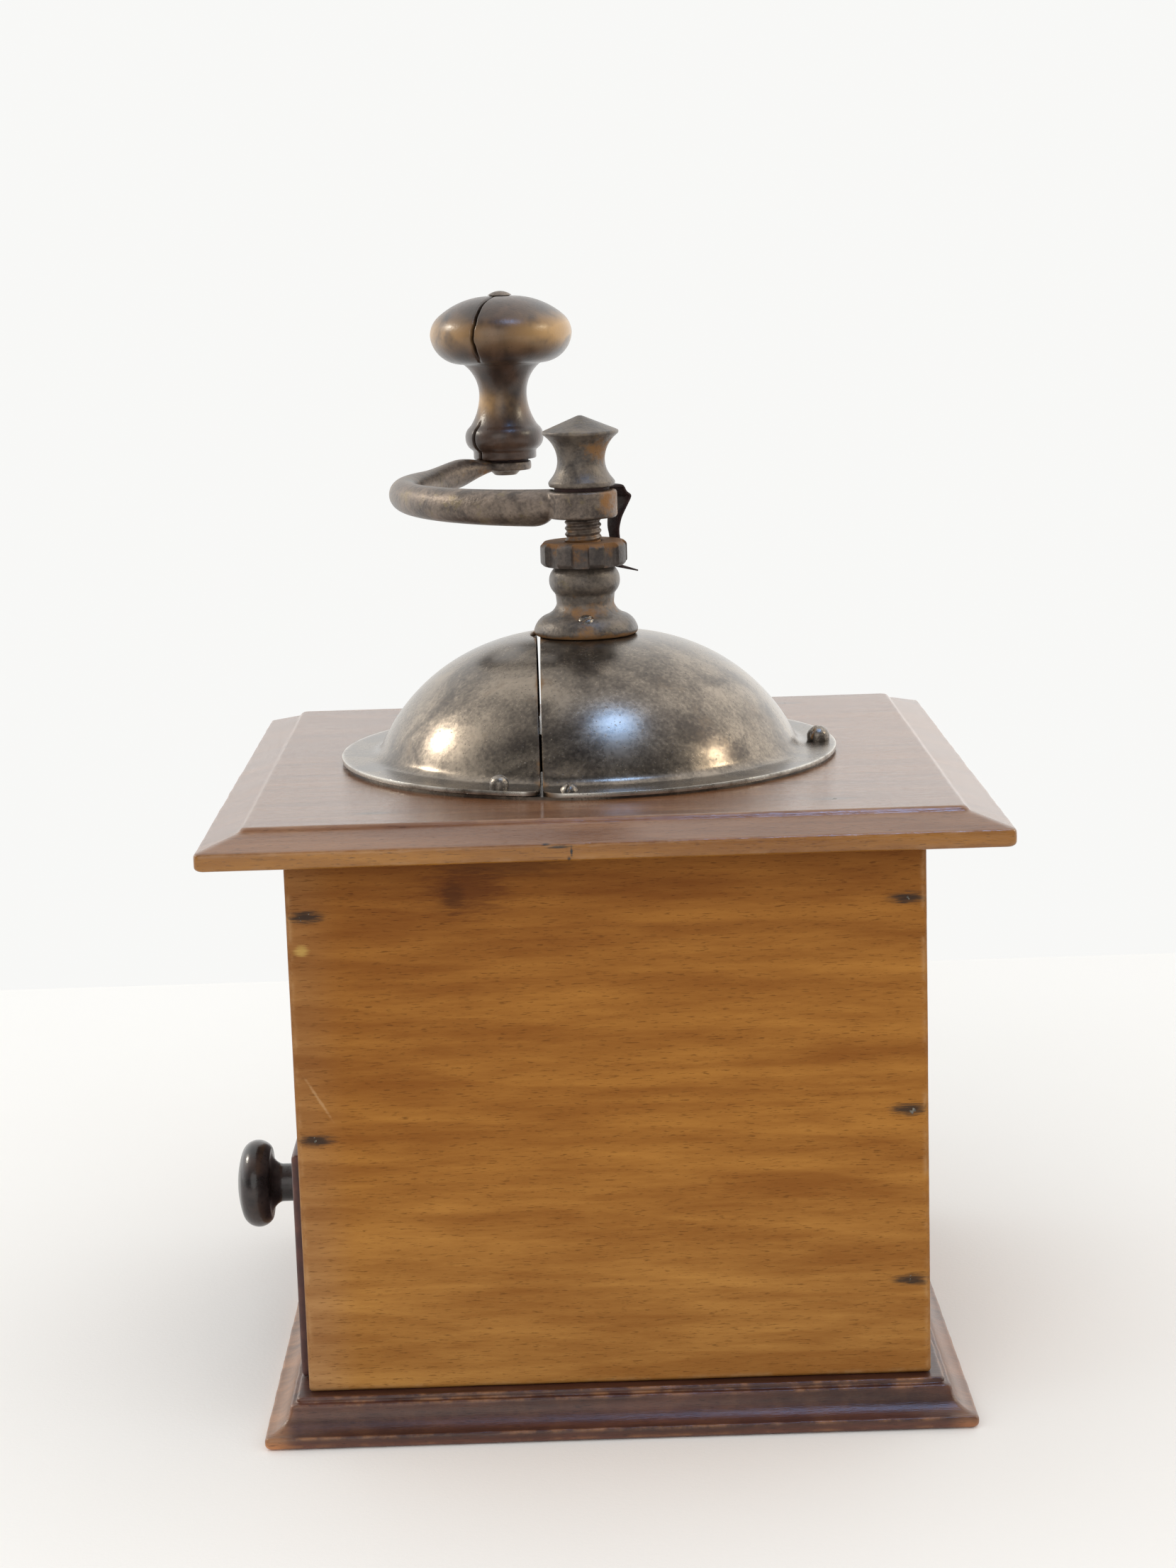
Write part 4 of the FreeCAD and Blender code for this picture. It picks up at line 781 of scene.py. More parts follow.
def make_iron(name, dark, light, rust, rusty, gloss, pits=0.5, metal=0.75, olive=None, cloud_size=6.0,
              bump=0.12, **settings):
    """Aged metal: clouds of two tones, rust by noise and the rust mask, bare metal by the wear mask, pits."""
    iron = Finish(name)
    cloud = iron.noise(cloud_size, detail=6, rough=0.62, warp=0.5)
    fine = iron.noise(0.8, detail=4, rough=0.6, shift=6)
    pit = iron.noise(0.45, detail=2, rough=0.5, shift=12)
    patch = iron.noise(cloud_size * 0.6, detail=5, rough=0.7, shift=17)
    tone = iron.plus(iron.times(cloud, 0.7), iron.times(fine, 0.3))
    colour = iron.mix(iron.ramp(tone, 0.34, 0.68), dark, light)
    if olive:
        colour = iron.mix(iron.times(iron.ramp(patch, 0.56, 0.70), 0.5), colour, olive)
    creep = iron.plus(iron.mask("rust"), iron.sum("SUBTRACT", patch, 1.0 - rusty))
    rusted = iron.ramp(creep, 0.02, 0.32)
    colour = iron.mix(iron.times(rusted, 0.85), colour, rust)
    rubbed = iron.times(iron.mask("wear"), iron.ramp(patch, 0.3, 0.55), clamp=True)
    colour = iron.mix(rubbed, colour, BARE_STEEL)
    holes = iron.ramp(pit, 0.66, 0.76)
    colour = iron.mix(iron.times(holes, pits), colour, PIT_DARK)
    rough = iron.plus(iron.spread(tone, gloss, 0.3, 0.7), iron.times(rusted, 0.28), clamp=True)
    return iron.done(colour, rough, [(fine, bump), (holes, -0.05)], Metallic=metal, **settings)


# %% Metals
dome_steel = make_iron("browned_steel", (0.070, 0.059, 0.051), (0.264, 0.220, 0.174), (0.20, 0.105, 0.040),
                       0.18, (0.21, 0.32), 0.55, 0.92, (0.15, 0.115, 0.085), 14.0, 0.005)
cast_iron = make_iron("grey_casting", (0.042, 0.034, 0.029), (0.158, 0.126, 0.098), (0.22, 0.105, 0.032),
                      0.34, (0.32, 0.52), 0.5, 0.35, (0.15, 0.115, 0.055))
dark_casting = make_iron("dark_casting", (0.030, 0.024, 0.022), (0.105, 0.082, 0.068), (0.20, 0.090, 0.026),
                         0.36, (0.40, 0.58), 0.5, 0.35, (0.11, 0.08, 0.04))
forged_iron = make_iron("forged_bar", (0.056, 0.043, 0.036), (0.225, 0.174, 0.136), (0.25, 0.115, 0.035),
                        0.34, (0.34, 0.50), 0.5, 0.55, (0.18, 0.14, 0.07))
# Painted shade in this colour: the leaf's dark red-brown rust is darkened further because it sits in shade
# under the crank's hub. The knob washer uses it too.
dark_iron = make_iron("dark_spring_painted_shade", (0.014, 0.006, 0.006), (0.040, 0.020, 0.018), (0.07, 0.028, 0.014),
                      0.12, (0.6, 0.8), 0.4, 0.0, **{"Specular IOR Level": 0.2})
nail_iron = make_iron("nail_head", (0.030, 0.027, 0.026), (0.26, 0.235, 0.19), (0.14, 0.07, 0.025),
                      0.36, (0.45, 0.65), 0.6, 0.4, None, 1.6)
screw_steel = make_iron("screw_head", (0.08, 0.068, 0.058), (0.27, 0.235, 0.20), (0.20, 0.095, 0.03),
                        0.15, (0.20, 0.34), 0.5, 0.85)
METALS = (dome_steel, cast_iron, dark_casting, forged_iron, dark_iron, nail_iron, screw_steel)
print("metals:", ", ".join(metal.name for metal in METALS))


# %% Rust in hollows
def rust_mask(profile, reach=1.2):
    """Rust gathers in the hollows of a profile: high where the line bends inward, seen from its right."""
    step = np.hypot(*np.gradient(profile, axis=0).T)
    first = np.gradient(profile, axis=0) / step[:, None]
    second = np.gradient(first, axis=0) / step[:, None]
    bend = first[:, 0] * second[:, 1] - first[:, 1] * second[:, 0]
    soft = np.exp(-0.5 * (np.arange(-12, 13) / 5) ** 2)
    hollow = np.convolve(np.clip(-bend, 0, 1.5), soft / soft.sum(), mode="same")
    return np.clip(hollow * reach, 0, 0.7)


# %% [markdown]
# ## Dome and lid
# The dome is one spun sheet, cut across beside the crown: the back part is screwed down, the front part is a
# lid that swings on a stud. Each half is a sheet with two parameters, the way down the profile and the way
# round. The way round stops at the slit, so its limit is worked out for every radius. Solidify then gives the
# sheet its thickness, and a small bevel breaks the cut edges.

# %% Dome profile
SHEET = 0.9
DOME_ARC = 41.45
DOME_CROWN = 8.0
FOOT_ROUND = 3.0
FLANGE_WIDE = 7.0
SLIT_CORNER = 3.5
CUT_ARRIS = 0.16
SPIGOT = 6.4
LID_NOTCH = 11.95
shell_low, shell_high = span("dome_shell")
lid_low = span("dome_lid")[0]
CROWN = shell_high[2]
FLANGE = (shell_high[1] - shell_low[1]) / 2
RISE = CROWN - shell_low[2]
slit_edge = axis_x - shell_low[0]


def dome_profile(start):
    """Radius and height of the dome's outer face, from a start radius over the crown down to the rim.

    The foot is a hollow round that touches the flange and the big arc: its centre lies one foot round above
    the flange and the sum of both radii from the arc's own centre.
    """
    centre_up = RISE - DOME_ARC
    up = SHEET + FOOT_ROUND - centre_up
    out = np.sqrt((DOME_ARC + FOOT_ROUND) ** 2 - up ** 2)
    share = DOME_ARC / (DOME_ARC + FOOT_ROUND)
    crown = max(start, DOME_CROWN)
    begin = centre_up + np.sqrt(DOME_ARC ** 2 - (crown - DOME_CROWN) ** 2)
    corners = [(start, begin)] if start >= DOME_CROWN else [(start, RISE), (DOME_CROWN, RISE)]
    corners += [(DOME_CROWN + out * share, centre_up + up * share, -DOME_ARC),
                (DOME_CROWN + out, SHEET, FOOT_ROUND), (FLANGE, SHEET)]
    return worn(contour(*corners), 0.42, 0.4)


# %% Halves of the dome
def slit_line(radius, distance, way):
    """The angle, from a half's own middle, at which the slit cuts a circle of that radius.

    The cut is a straight line at a distance from the axis, so the cosine of the angle is that distance over
    the radius. Near the rim the line is drawn back along a quarter circle, which rounds the corner.
    """
    inside = np.clip(radius - (FLANGE - SLIT_CORNER), 0, SLIT_CORNER)
    drawn = SLIT_CORNER - np.sqrt(SLIT_CORNER ** 2 - inside ** 2)
    return np.arccos(np.clip((drawn - way * distance) / radius, -1, 1))


def dome_half(start, distance, way, columns):
    """One half of the dome as a sheet: the profile's points spun between the two ends of the slit.

    way is 1 for the half on the side of +X and -1 for the other. Rust creeps in from the cut, the collar and
    the foot, and the rim is worn bare.
    """
    line = dome_profile(start)
    radius = line[:, :1]
    limit = slit_line(radius, distance, way)
    share = np.linspace(-1, 1, columns)
    share = 0.65 * share + 0.35 * np.sin(share * np.pi / 2)
    angle = limit * share + (np.pi if way < 0 else 0.0)
    to_cut = (1 - np.abs(share)) * limit * radius + np.where(radius < distance, 30.0, 0.0)
    rust = 0.42 * fading(to_cut, 1.6) + 0.36 * fading(radius - LID_NOTCH, 1.5)
    rust += 0.22 * bell(radius - FLANGE + FLANGE_WIDE, 1.6)
    return spun(radius, angle, line[:, 1:]), {"rust": rust, "wear": fading(FLANGE - radius, 0.35) + 0 * angle}


# %% Sheet thickness
def thicken(sheet, thick):
    """Wall thickness inward, and a broken arris along the cut edges."""
    wall = sheet.modifiers.new("wall", "SOLIDIFY")
    wall.thickness = thick * MM
    wall.offset = -1
    wall.use_even_offset = True
    arris = sheet.modifiers.new("arris", "BEVEL")
    arris.width = CUT_ARRIS * MM
    arris.segments = 2
    arris.limit_method = "ANGLE"
    arris.angle_limit = np.radians(55)


# %% Dome shell and lid
LID_AJAR = np.radians(0.4)
SLIT_GAP = 0.6
points, masks = dome_half(SPIGOT, slit_edge, 1, 220)
dome_shell = make("dome_shell_steel", weave(points + (axis_x, 0, shell_low[2]), ring=False), masks=masks)
thicken(dome_shell, SHEET)
settle(dome_shell, "case", "dome_steel", dome_steel, "dome_shell")

pivot = np.mean(span("lid_pivot"), axis=0)
points, masks = dome_half(LID_NOTCH, slit_edge + SLIT_GAP, -1, 170)
points = swung(points + (axis_x, 0, lid_low[2]) - pivot, LID_AJAR, pivot)
dome_lid = make("dome_lid_steel", weave(points, ring=False), masks=masks)
thicken(dome_lid, SHEET)
settle(dome_lid, "lid", "dome_steel", dome_steel, "dome_lid")


# %% [markdown]
# ## Screws and nails
# A screw head is a cap of a sphere with a slot. A slot could be cut with a boolean, but on a polar grid it is
# a formula too: the surface drops where the distance from the slot's middle line is small. Nails are turned
# shapes with an uneven, hammered top.

# %% Screws
COLLAR_SCREW_OUT = 9.1
COLLAR_SCREW_UP = 3.9


def slotted(radius, rise, slot, turn, columns=120):
    """A round screw head: height of a sphere's cap over the radius, less a slot along one diameter."""
    ball = (radius ** 2 + rise ** 2) / (2 * rise)
    reach = np.concatenate([[radius * 0.97, radius], radius * np.cos(np.linspace(0, np.pi / 2, 30))[1:]])
    angle = full_turn(columns)
    across = reach[:, None] * np.sin(angle - np.radians(turn))
    cap = np.sqrt(ball ** 2 - np.minimum(reach, radius) ** 2) - (ball - rise)
    cap[:2] = (-0.5, 0.0)
    drop = 1 / (1 + np.exp((np.abs(across) - slot / 2) / 0.05))
    drop[:2] = 0
    height = cap[:, None] - drop * min(rise * 0.55, 0.8)
    return spun(reach[:, None], angle, height), 0.5 * drop


# Per head: its radius, its rise, the width of its slot, the turn of the slot in degrees and the way it faces.
SCREW_HEADS = {
    "dome_screw_near": (1.9, 1.4, 0.5, 75, (0, 0, 1)),
    "dome_screw_far": (1.9, 1.4, 0.5, 20, (0, 0, 1)),
    "dome_screw_back": (2.45, 3.2, 0.75, 50, (0, 0, 1)),
    "lid_pivot": (2.0, 2.5, 0.0, 0, (0, 0, 1)),
    "collar_screw_near": (1.7, 0.7, 0.5, 30, (0, -1, 1)),
    "collar_screw_far": (1.7, 0.7, 0.5, 60, (0, 1, 1)),
}
for node, (radius, rise, slot, turn, way) in SCREW_HEADS.items():
    low, high = span(node)
    upright = np.array(way) / np.linalg.norm(way)
    seat = np.array([(low[0] + high[0]) / 2, (low[1] + high[1]) / 2, high[2] - rise])
    if way[1]:
        seat[1:] = way[1] * COLLAR_SCREW_OUT, CROWN + COLLAR_SCREW_UP
    points, rust = slotted(radius, rise, slot, turn)
    shell = weave(aimed(points, seat, upright), first=True)
    cover(node, "head", shell, "case", "screw_steel", screw_steel, rust=rust)

# %% Nails
NAIL_HEAD = 1.7
NAIL_SHANK = 0.8
NAIL_LENGTH = 15.0
HAMMERED = 0.10
nail_line = worn(contour((0, 0.05), (NAIL_HEAD * 0.8, 0.0), (NAIL_HEAD, -0.25), (NAIL_HEAD, -0.75),
                         (NAIL_SHANK, -0.8), (NAIL_SHANK, 2 - NAIL_LENGTH), (0, -NAIL_LENGTH)), 0.15, 0.12)
for number, node in enumerate(side_nails + board_nails):
    points = turned(nail_line, columns=40)
    dents = HAMMERED * ripple(points, 1.6, 50 + number) - HAMMERED
    points[..., 2] += np.where(points[..., 2] > -0.4, dents, 0)
    cover(node, "iron", weave(aimed(points, *nail_head(node))), "case", "nail_iron", nail_iron)

# %% [markdown]
# ## Bearing collar, nut and spindle
# The collar is a casting shaped like a bell with a bulb on top, screwed to the crown of the dome. The notched
# nut above it sets the fineness of the grind, and a bit of the spindle's thread shows between nut and crank.

# %% Collar
BORE = 4.05
COLLAR_BORE = 4.15
collar_line = worn(contour((COLLAR_BORE, -3), (SPIGOT, -3), (SPIGOT, 0), (11.0, 0), (11.45, 1.0),
                           (9.0, 4.2, 4.6), (6.2, 6.8, -4.0), (6.5, 9.0), (7.7, 12.0, 3.4), (5.9, 14.95, 3.4),
                           (COLLAR_BORE, 14.95), (COLLAR_BORE, -3)), 0.2, 0.28)
points = turned(collar_line, (axis_x, 0, CROWN), 120)
uneven = 0.06 * ripple(points, 7, 70) * np.clip(collar_line[:, :1] - 4.5, 0, 1)
points[..., :2] += uneven[..., None] * (points[..., :2] - (axis_x, 0)) / 8
hollows = 0.55 * rust_mask(collar_line) + 0.60 * fading(collar_line[:, 1] - 0.2, 0.8)
to_screw = np.linalg.norm((points - (axis_x, 0, CROWN + COLLAR_SCREW_UP)) * (1, 0, 1), axis=-1)
cover("bearing_collar", "iron", weave(points), "case", "cast_iron", cast_iron,
      rust=hollows[:, None] + 0.3 * bell(to_screw, 3.0))

# %% Adjusting nut
NOTCHES = 8
NOTCH_WIDTH = 3.9
NOTCH_FLOOR = 8.4
NUT_TURN = np.radians(40)
NUT_CHAMFER = 0.8
nut_low, nut_high = span("adjusting_nut")
NUT = (nut_high[1] - nut_low[1]) / 2
nut_tall = nut_high[2] - nut_low[2]
nut_face = NUT - NUT_CHAMFER
nut_line = worn(contour((BORE, 0), (nut_face, 0), (NUT, NUT_CHAMFER), (NUT, nut_tall - NUT_CHAMFER),
                        (nut_face, nut_tall), (BORE, nut_tall), (BORE, 0)), 0.2, 0.22)


def notched(profile, columns=480):
    """A turned ring whose radius is held down to a flat floor inside each notch, with soft walls."""
    angle = full_turn(columns)
    pitch = 2 * np.pi / NOTCHES
    off = (angle - NUT_TURN + pitch / 2) % pitch - pitch / 2
    floor_line = NOTCH_FLOOR / np.cos(off)
    wall = 1 / (1 + np.exp(-(np.abs(NUT * np.sin(off)) - NOTCH_WIDTH / 2) / 0.07))
    limit = floor_line + wall * (NUT + 1 - floor_line)
    points = spun(np.minimum(profile[:, :1], limit), angle, profile[:, 1:])
    rust = 0.42 * np.clip(profile[:, 1:] / nut_tall - 0.75, 0, 1) * 4 + 0.2 * (1 - wall)
    return points + (axis_x, 0, nut_low[2]), rust


points, rust = notched(nut_line)
cover("adjusting_nut", "iron", weave(points), "nut", "forged_iron", dark_casting, rust=rust)

# %% Spindle
SPINDLE = 4.0
SPINDLE_COLUMNS = 64
THREAD_PITCH = 1.3
THREAD_DEEP = 0.4
THREAD_FROM = CROWN + 13
HUB_ABOVE_NUT = 5.1
hub_low = nut_high[2] + HUB_ABOVE_NUT
spindle_foot, spindle_tip = (corner[2] for corner in span("spindle"))
cone_foot, cone_top = (corner[2] for corner in span("burr_cone"))
finial_foot = span("finial_nut")[0][2]
shoulder = cone_foot - 2.5
spindle_line = worn(contour((0, spindle_foot), (3.0, spindle_foot), (3.0, shoulder), (7.2, shoulder),
                            (7.2, cone_foot), (5.0, cone_foot), (5.0, cone_top), (SPINDLE, cone_top),
                            (SPINDLE, hub_low), (3.4, hub_low), (3.4, finial_foot), (2.6, finial_foot),
                            (2.6, spindle_tip), (0, spindle_tip)), 0.2, 0.12)
points = turned(spindle_line, (axis_x, 0, 0), SPINDLE_COLUMNS)
height = points[..., 2]
on_thread = (height > THREAD_FROM) & (height < hub_low - 0.05)
turns = 2 * np.pi * height / THREAD_PITCH - full_turn(SPINDLE_COLUMNS)
groove = THREAD_DEEP * (0.5 + 0.5 * np.cos(turns)) * on_thread
points[..., :2] -= (points[..., :2] - (axis_x, 0)) * (groove / SPINDLE)[..., None]
cover("spindle", "iron", weave(points), "spindle", "forged_iron", forged_iron,
      rust=0.5 * fading(height - nut_high[2], 0.7) + 0.5 * groove)

# %% [markdown]
# ## Click spring
# A leaf of spring steel is held between crank and finial. It bends down past the crank and its claw drops
# into a notch of the nut, so the setting can't wander. It is a strip: a flat section carried along a bent
# line, which can narrow and thin out on its way as the real leaf does.

# %% Click spring
SPRING_SHEET = 0.8
spring_spot = (axis_x, 0, span("click_spring")[1][2])
leaf = worn(contour((3.6, -0.4), (9.6, -0.4), (11.8, -2.6, 2.2), (9.2, -7.2), (8.7, -9.6), (9.1, -12.4),
                    (9.1, -18.0), (15.4, -19.75)), 0.15, 0.6)
drop = -leaf[:, 1]
leaf_wide = np.interp(drop, [0.4, 2.4, 11.0, 17.6, 18.4, 19.8], [6.0, 6.0, 3.2, 3.0, 2.2, 0.5])
leaf_thick = np.interp(drop, [0.0, 17.8, 19.8], [SPRING_SHEET, SPRING_SHEET, 0.3])


def strip(line, wide, thick, columns=28):
    """A rounded flat section carried along a line in the plane of x and z.

    The section is a squared-off ellipse: cosine and sine to the power one half, times half the thickness
    across the line and half the width along y.
    """
    way = np.gradient(line, axis=0)
    way /= np.linalg.norm(way, axis=1, keepdims=True)
    angle = full_turn(columns)
    flat = np.sign(np.cos(angle)) * np.sqrt(np.abs(np.cos(angle)))
    side = np.sign(np.sin(angle)) * np.sqrt(np.abs(np.sin(angle)))
    off = thick[:, None] / 2 * flat
    x = line[:, :1] - way[:, 1:] * off
    z = line[:, 1:] + way[:, :1] * off
    return np.stack([x, wide[:, None] / 2 * side, z], axis=-1)


eye = turned(ring_line(3.45, 6.0, -SPRING_SHEET, 0, 0.2, 0.1), spring_spot, 72)
leaf_points = swung(strip(leaf, leaf_wide, leaf_thick), NUT_TURN, spring_spot)
spring = make("click_spring_steel", weave(leaf_points, first=True, last=True), weave(eye))
settle(spring, "spindle", "forged_iron", dark_iron, "click_spring")

# %% [markdown]
# ## Crank
# The crank is one forging: an eye for the spindle, a round bar bent to half a circle, and a flat pad for the
# knob. The three are modelled as closed shells, and a voxel remesh melts them into one skin with soft
# fillets, as a smith's hammer would. Booleans would leave sharp seams, so the remesh is the better tool here.
# The finial that holds the crank down is turned work again: a flat foot, a waist and a pointed cap.

# %% Bar of the crank
ARM_BEND = 40.7
ARM_SWEEP = np.radians(153.9)
ARM_CLIMB = np.radians(1.0)
ARM_HEIGHT = 1.85
ARM_START = 6.2
BAR_THIN = 2.85
BAR_SWELL = 1.25
BAR_KNUCKLE = 0.3
TONGUE_TALL = 1.15
TONGUE_WIDE = 4.4
# Shares of the bar's length: where the tongue begins to flatten and to climb, and how long root and tip are.
FLAT_FROM, FLAT_RUN = 0.86, 0.12
CLIMB_FROM, CLIMB_RUN = 0.74, 0.24
ROOT_RUN = 0.046
TIP_RUN = 0.03
BAR_LIFT = 0.3
PAD = 2.2
PAD_UP = 4.7
pad_low = hub_low + PAD_UP


def eased(value):
    """0 below 0, 1 above 1 and smooth between: three squares less two cubes."""
    value = np.clip(value, 0, 1)
    return value ** 2 * (3 - 2 * value)


def bar(columns=48, rows=220):
    """A bar along a climbing arc: ovals square to the arc, round at the eye, flat and wide at the pad.

    Towards the pad the oval's middle climbs to the pad's own middle, then its height shrinks and its width
    grows. At the eye its underside rises along a quarter oval, so the bar runs out into the eye.
    """
    turn = np.linspace(np.arcsin(ARM_START / ARM_BEND), ARM_SWEEP, rows)
    share = np.linspace(0, 1, rows)
    flat = eased((share - FLAT_FROM) / FLAT_RUN)
    climb = eased((share - CLIMB_FROM) / CLIMB_RUN)
    root = 0.62 + 0.38 * np.sqrt(1 - (1 - share / ROOT_RUN).clip(0, 1) ** 2)
    tip = np.sqrt(np.clip(1 - ((share - 1 + TIP_RUN) / TIP_RUN).clip(0, 1) ** 2, 0.02, 1))
    round_bar = BAR_THIN + BAR_SWELL * (1 - share) ** 0.9 + BAR_KNUCKLE * bell(share - FLAT_FROM, 0.06)
    tall = (round_bar * (1 - flat) + TONGUE_TALL * flat) * root * tip
    wide = (round_bar * (1 - flat) + TONGUE_WIDE * flat) * tip
    rise = BAR_LIFT + climb * (PAD_UP + PAD / 2 - ARM_HEIGHT - 2 * ARM_BEND * np.sin(ARM_CLIMB))
    rise += round_bar * (1 - root)
    angle = full_turn(columns)
    out = ARM_BEND + np.cos(angle) * wide[:, None]
    x = -out * np.sin(turn)[:, None]
    y = ARM_BEND - out * np.cos(turn)[:, None]
    z = rise[:, None] + np.sin(angle) * tall[:, None]
    c, s = np.cos(ARM_CLIMB), np.sin(ARM_CLIMB)
    return np.stack([x + axis_x, y * c - z * s, y * s + z * c + hub_low + ARM_HEIGHT], axis=-1)


# %% Crank arm
HUB = 7.6
HUB_TALL = 5.9
PAD_WIDE = 6.3
PIN_BORE = 2.45
VOXEL = 0.28
SMOOTH_ROUNDS = 6
knob_low, knob_high = span("crank_knob")
knob_x, knob_y = ((knob_low + knob_high) / 2)[:2]


def forge(item, voxel, rounds):
    """Melt the closed shells of an object into one skin: voxel remesh, then rounds of smoothing."""
    melt = item.modifiers.new("melt", "REMESH")
    melt.mode = "VOXEL"
    melt.voxel_size = voxel * MM
    soften = item.modifiers.new("soften", "SMOOTH")
    soften.factor = 0.5
    soften.iterations = rounds
    seen_by = bpy.context.evaluated_depsgraph_get()
    skin = bpy.data.meshes.new_from_object(item.evaluated_get(seen_by))
    item.modifiers.clear()
    item.data = skin
    skin.polygons.foreach_set("use_smooth", np.ones(len(skin.polygons), dtype=bool))


hub = turned(ring_line(BORE, HUB, 0, HUB_TALL, 0.2, 0.3), (axis_x, 0, hub_low), 96)
pad = turned(ring_line(PIN_BORE, PAD_WIDE, 0, PAD, 0.2, 0.35), (knob_x, knob_y, pad_low), 80)
crank = make("crank_arm_iron", weave(hub), weave(bar(), first=True, last=True), weave(pad))
forge(crank, VOXEL, SMOOTH_ROUNDS)
skin = np.zeros(3 * len(crank.data.vertices), dtype=np.float32)
crank.data.vertices.foreach_get("co", skin)
skin = skin.reshape(-1, 3) / MM
eye_side = np.clip((skin[:, 0] - axis_x - 2) / 3, 0, 1)
by_pad = bell(np.linalg.norm(skin - (knob_x - 8, knob_y, pad_low), axis=1), 11)
carry(crank.data, "rust", 0.34 * eye_side + 0.38 * by_pad)
settle(crank, "spindle", "forged_iron", forged_iron, "crank_arm")

# %% Finial
FINIAL_COLUMNS = 112
finial_line = worn(contour((0, 0.05), (7.1, 0.05), (7.3, 1.0), (6.5, 2.0), (5.15, 6.0, -6.0),
                           (8.3, 11.4, -7.0), (8.3, 12.0), (0.4, 15.3), (0, 15.3)), 0.18, 0.22)
points = turned(finial_line, (axis_x, 0, finial_foot), FINIAL_COLUMNS)
to_right = np.clip(np.cos(full_turn(FINIAL_COLUMNS) + np.radians(25)), 0, 1)
waist = bell(finial_line[:, 1:] - 8.5, 3.5)
cover("finial_nut", "iron", weave(points), "spindle", "forged_iron", cast_iron,
      rust=0.35 * rust_mask(finial_line)[:, None] + 0.32 * to_right * waist)

# %% [markdown]
# ## Crank knob
# The pear-wood knob spins on a riveted pin. Drying has split its head from the rivet down past the widest
# place, and the foot as well. The split is part of the surface: the columns of the grid crowd together beside
# it, and the points there sink along a wandering line.

# %% Crank knob
SPLIT_HEAD = np.radians(-112)
SPLIT_FOOT = np.radians(-140)
SPLIT_WIDE = 0.32
SPLIT_DEEP = 1.3
KNOB_BORE = 2.48
knob_line = worn(contour((KNOB_BORE, 0), (7.6, 0), (7.6, 2.1), (9.45, 5.0, 3.2), (8.1, 8.0, 3.2),
                         (5.75, 15.8, -14.0), (9.4, 22.9, -9.0), (17.1, 29.8, 7.5), (15.0, 34.3, 6.0),
                         (3.4, 38.9, 18.9), (KNOB_BORE, 38.9), (KNOB_BORE, 0)), 0.3, 0.3)


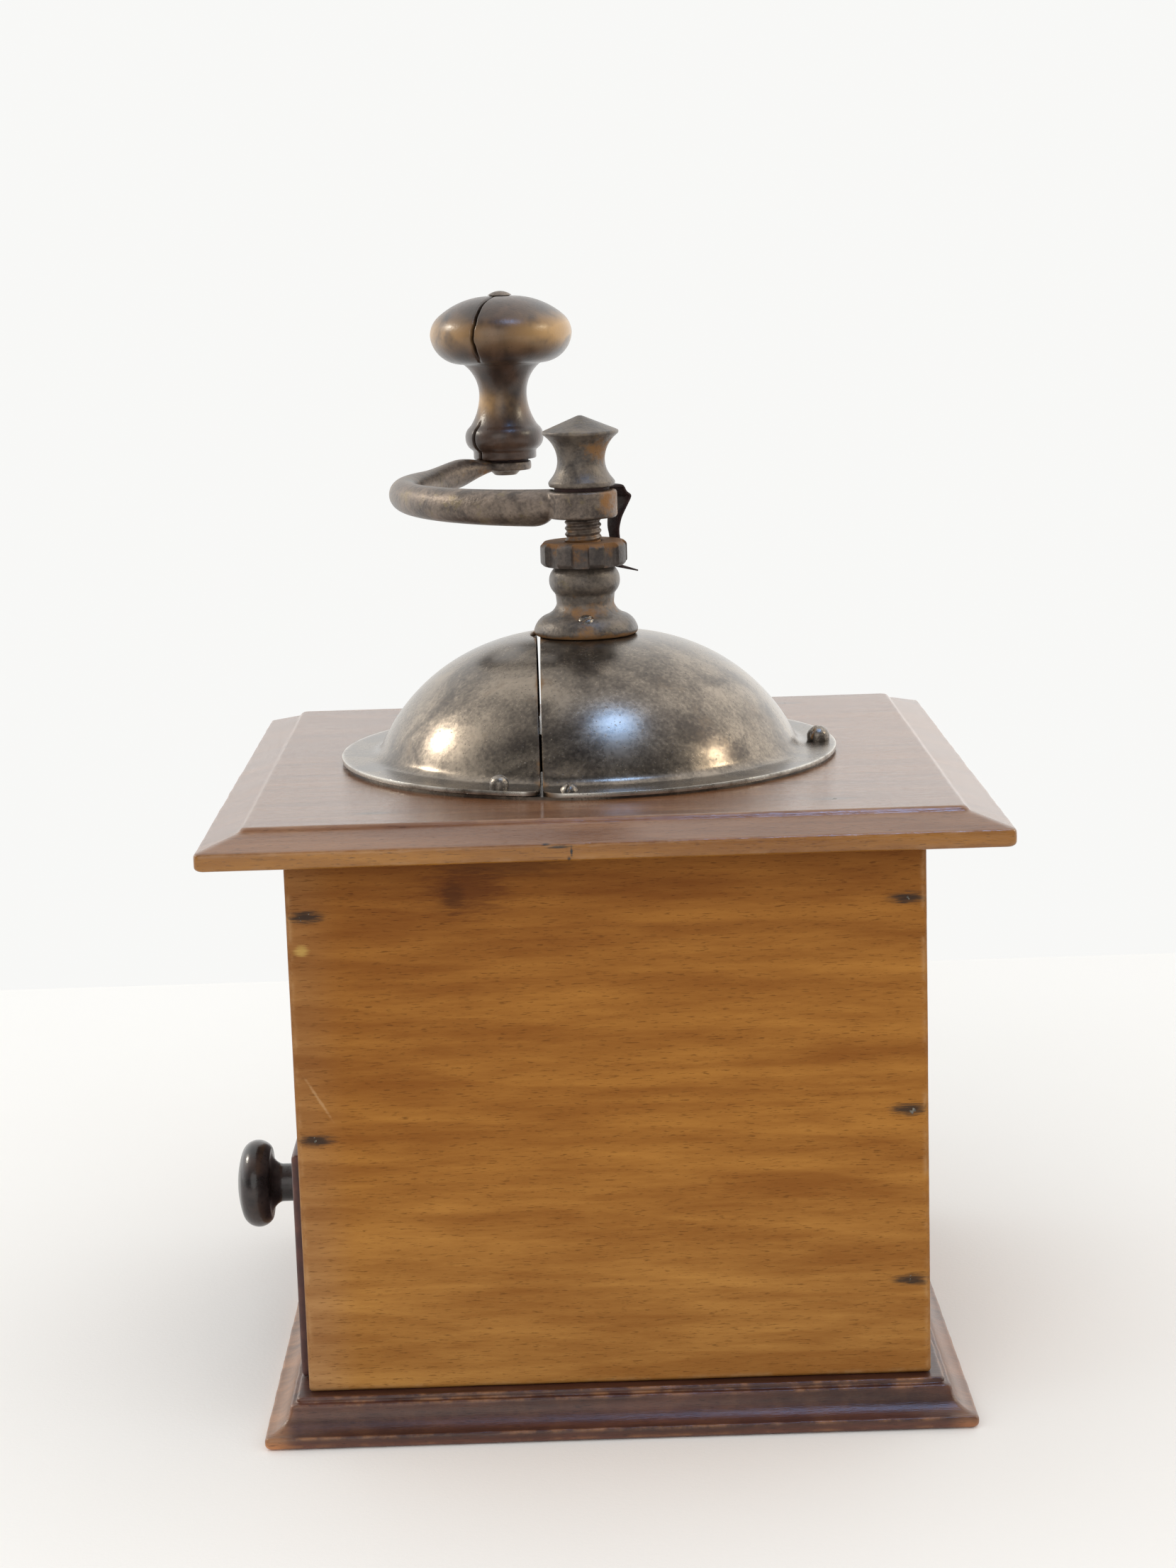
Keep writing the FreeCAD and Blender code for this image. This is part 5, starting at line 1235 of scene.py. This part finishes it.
def split_knob(profile):
    """The knob spun on crowded angles, with two splits: depth is a bell of the distance from a split's line.

    The points sink square to the profile. The wear mask is high round the widest place and the waist: partly
    wear where hands rub, partly painted highlight, strongest on the right side, which faces the right lamp.
    """
    even = np.linspace(-np.pi, np.pi, 120, endpoint=False)
    close = np.linspace(-0.11, 0.11, 34)
    angle = np.sort(np.concatenate([even, SPLIT_HEAD + close, SPLIT_FOOT + close]))
    radius = profile[:, :1]
    up = profile[:, 1:]
    way = np.gradient(profile, axis=0)
    way /= np.linalg.norm(way, axis=1, keepdims=True)
    outside = (radius > 2.7) & ((way[:, 1:] > -0.2) | (up > 20))
    wander = 0.012 * np.sin(up * 0.8) + 0.004 * np.sin(up * 2.3 + 1)
    from_head = np.abs(angle - SPLIT_HEAD - wander) * radius
    from_foot = np.abs(angle - SPLIT_FOOT - 0.6 * wander) * radius
    crack = bell(from_head, SPLIT_WIDE) * np.clip((up - 23.5) / 3, 0, 1)
    crack += bell(from_foot, SPLIT_WIDE) * np.clip((9.5 - up) / 2, 0, 1)
    crack = np.clip(crack, 0, 1) * outside
    sink = crack * SPLIT_DEEP
    points = spun(radius - sink * way[:, 1:], angle, up + sink * way[:, :1])
    # Painted highlight as well as wear: the rubbed amber is made strongest on the side facing the right lamp,
    # and next on the left, where light falls on the knob.
    right = np.clip(np.cos(angle - np.radians(-10)), 0, 1) ** 2
    left = np.clip(np.cos(angle - np.radians(190)), 0, 1) ** 2
    wear = bell(up - 30.5, 3.2) * (0.15 + 1.3 * right + 0.7 * left) * (radius > 9)
    wear += 1.1 * bell(up - 13.5, 2.8) * (0.25 + 0.75 * left)
    return points + (knob_x, knob_y, knob_low[2]), crack, wear


points, crack, wear = split_knob(knob_line)
# The amber rub colour is partly wear and partly painted highlight on the sides of the knob that face the
# lamps.
pear_polish = make_polish("pear_polish", (0.022, 0.013, 0.010), (0.088, 0.048, 0.030), (0.42, 0.240, 0.085),
                          (0.25, 0.60), (0.24, 0.42))
cover("crank_knob", "wood", weave(points), "knob", "crank_knob_wood", pear_polish, crack=crack, wear=wear)

# %% Knob pin and washer
RIVET_RISE = 1.05
WASHER_BORE = 2.42
WASHER_WIDE = 5.6
pin_foot, pin_tip = (corner[2] for corner in span("knob_pin"))
pin_seat = pin_foot + 1.2
pin_top = pin_tip - RIVET_RISE
pin_line = worn(contour((0, pin_foot), (2.6, pin_foot), (3.8, pin_seat), (2.4, pin_seat), (2.4, pin_top),
                        (2.95, pin_top), (0, pin_tip, 4.7)), 0.15, 0.12)
pin_points = turned(pin_line, (knob_x, knob_y, 0), 64)
cover("knob_pin", "iron", weave(pin_points), "spindle", "forged_iron", forged_iron)
washer_foot, washer_top = (corner[2] for corner in span("knob_washer"))
washer_line = ring_line(WASHER_BORE, WASHER_WIDE, washer_foot, washer_top, 0.1, 0.06)
washer_points = turned(washer_line, (knob_x, knob_y, 0), 72)
cover("knob_washer", "iron", weave(washer_points), "spindle", "forged_iron", dark_iron)

# %% [markdown]
# ## The works inside
# The burrs, their yoke, the funnel and the screws from below are already right as solids. They keep their own
# meshes and only get a finish, as nothing of them is worn to another shape.

# %% Finishes of the solids that stay
KEPT = {
    cast_iron: ["burr_ring", "burr_cone", "lower_yoke"],
    dome_steel: ["hopper_funnel"],
    forged_iron: ["burr_pin"],
    screw_steel: [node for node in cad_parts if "screw" in node and node not in SCREW_HEADS],
}
for material, names in KEPT.items():
    for node in names:
        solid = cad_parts[node].data
        solid.materials.clear()
        solid.materials.append(material)
print("kept solids:", sum(len(names) for names in KEPT.values()))

# %% [markdown]
# ## Last step
# The view layer is updated once more at the end.

# %% Update
bpy.context.view_layer.update()
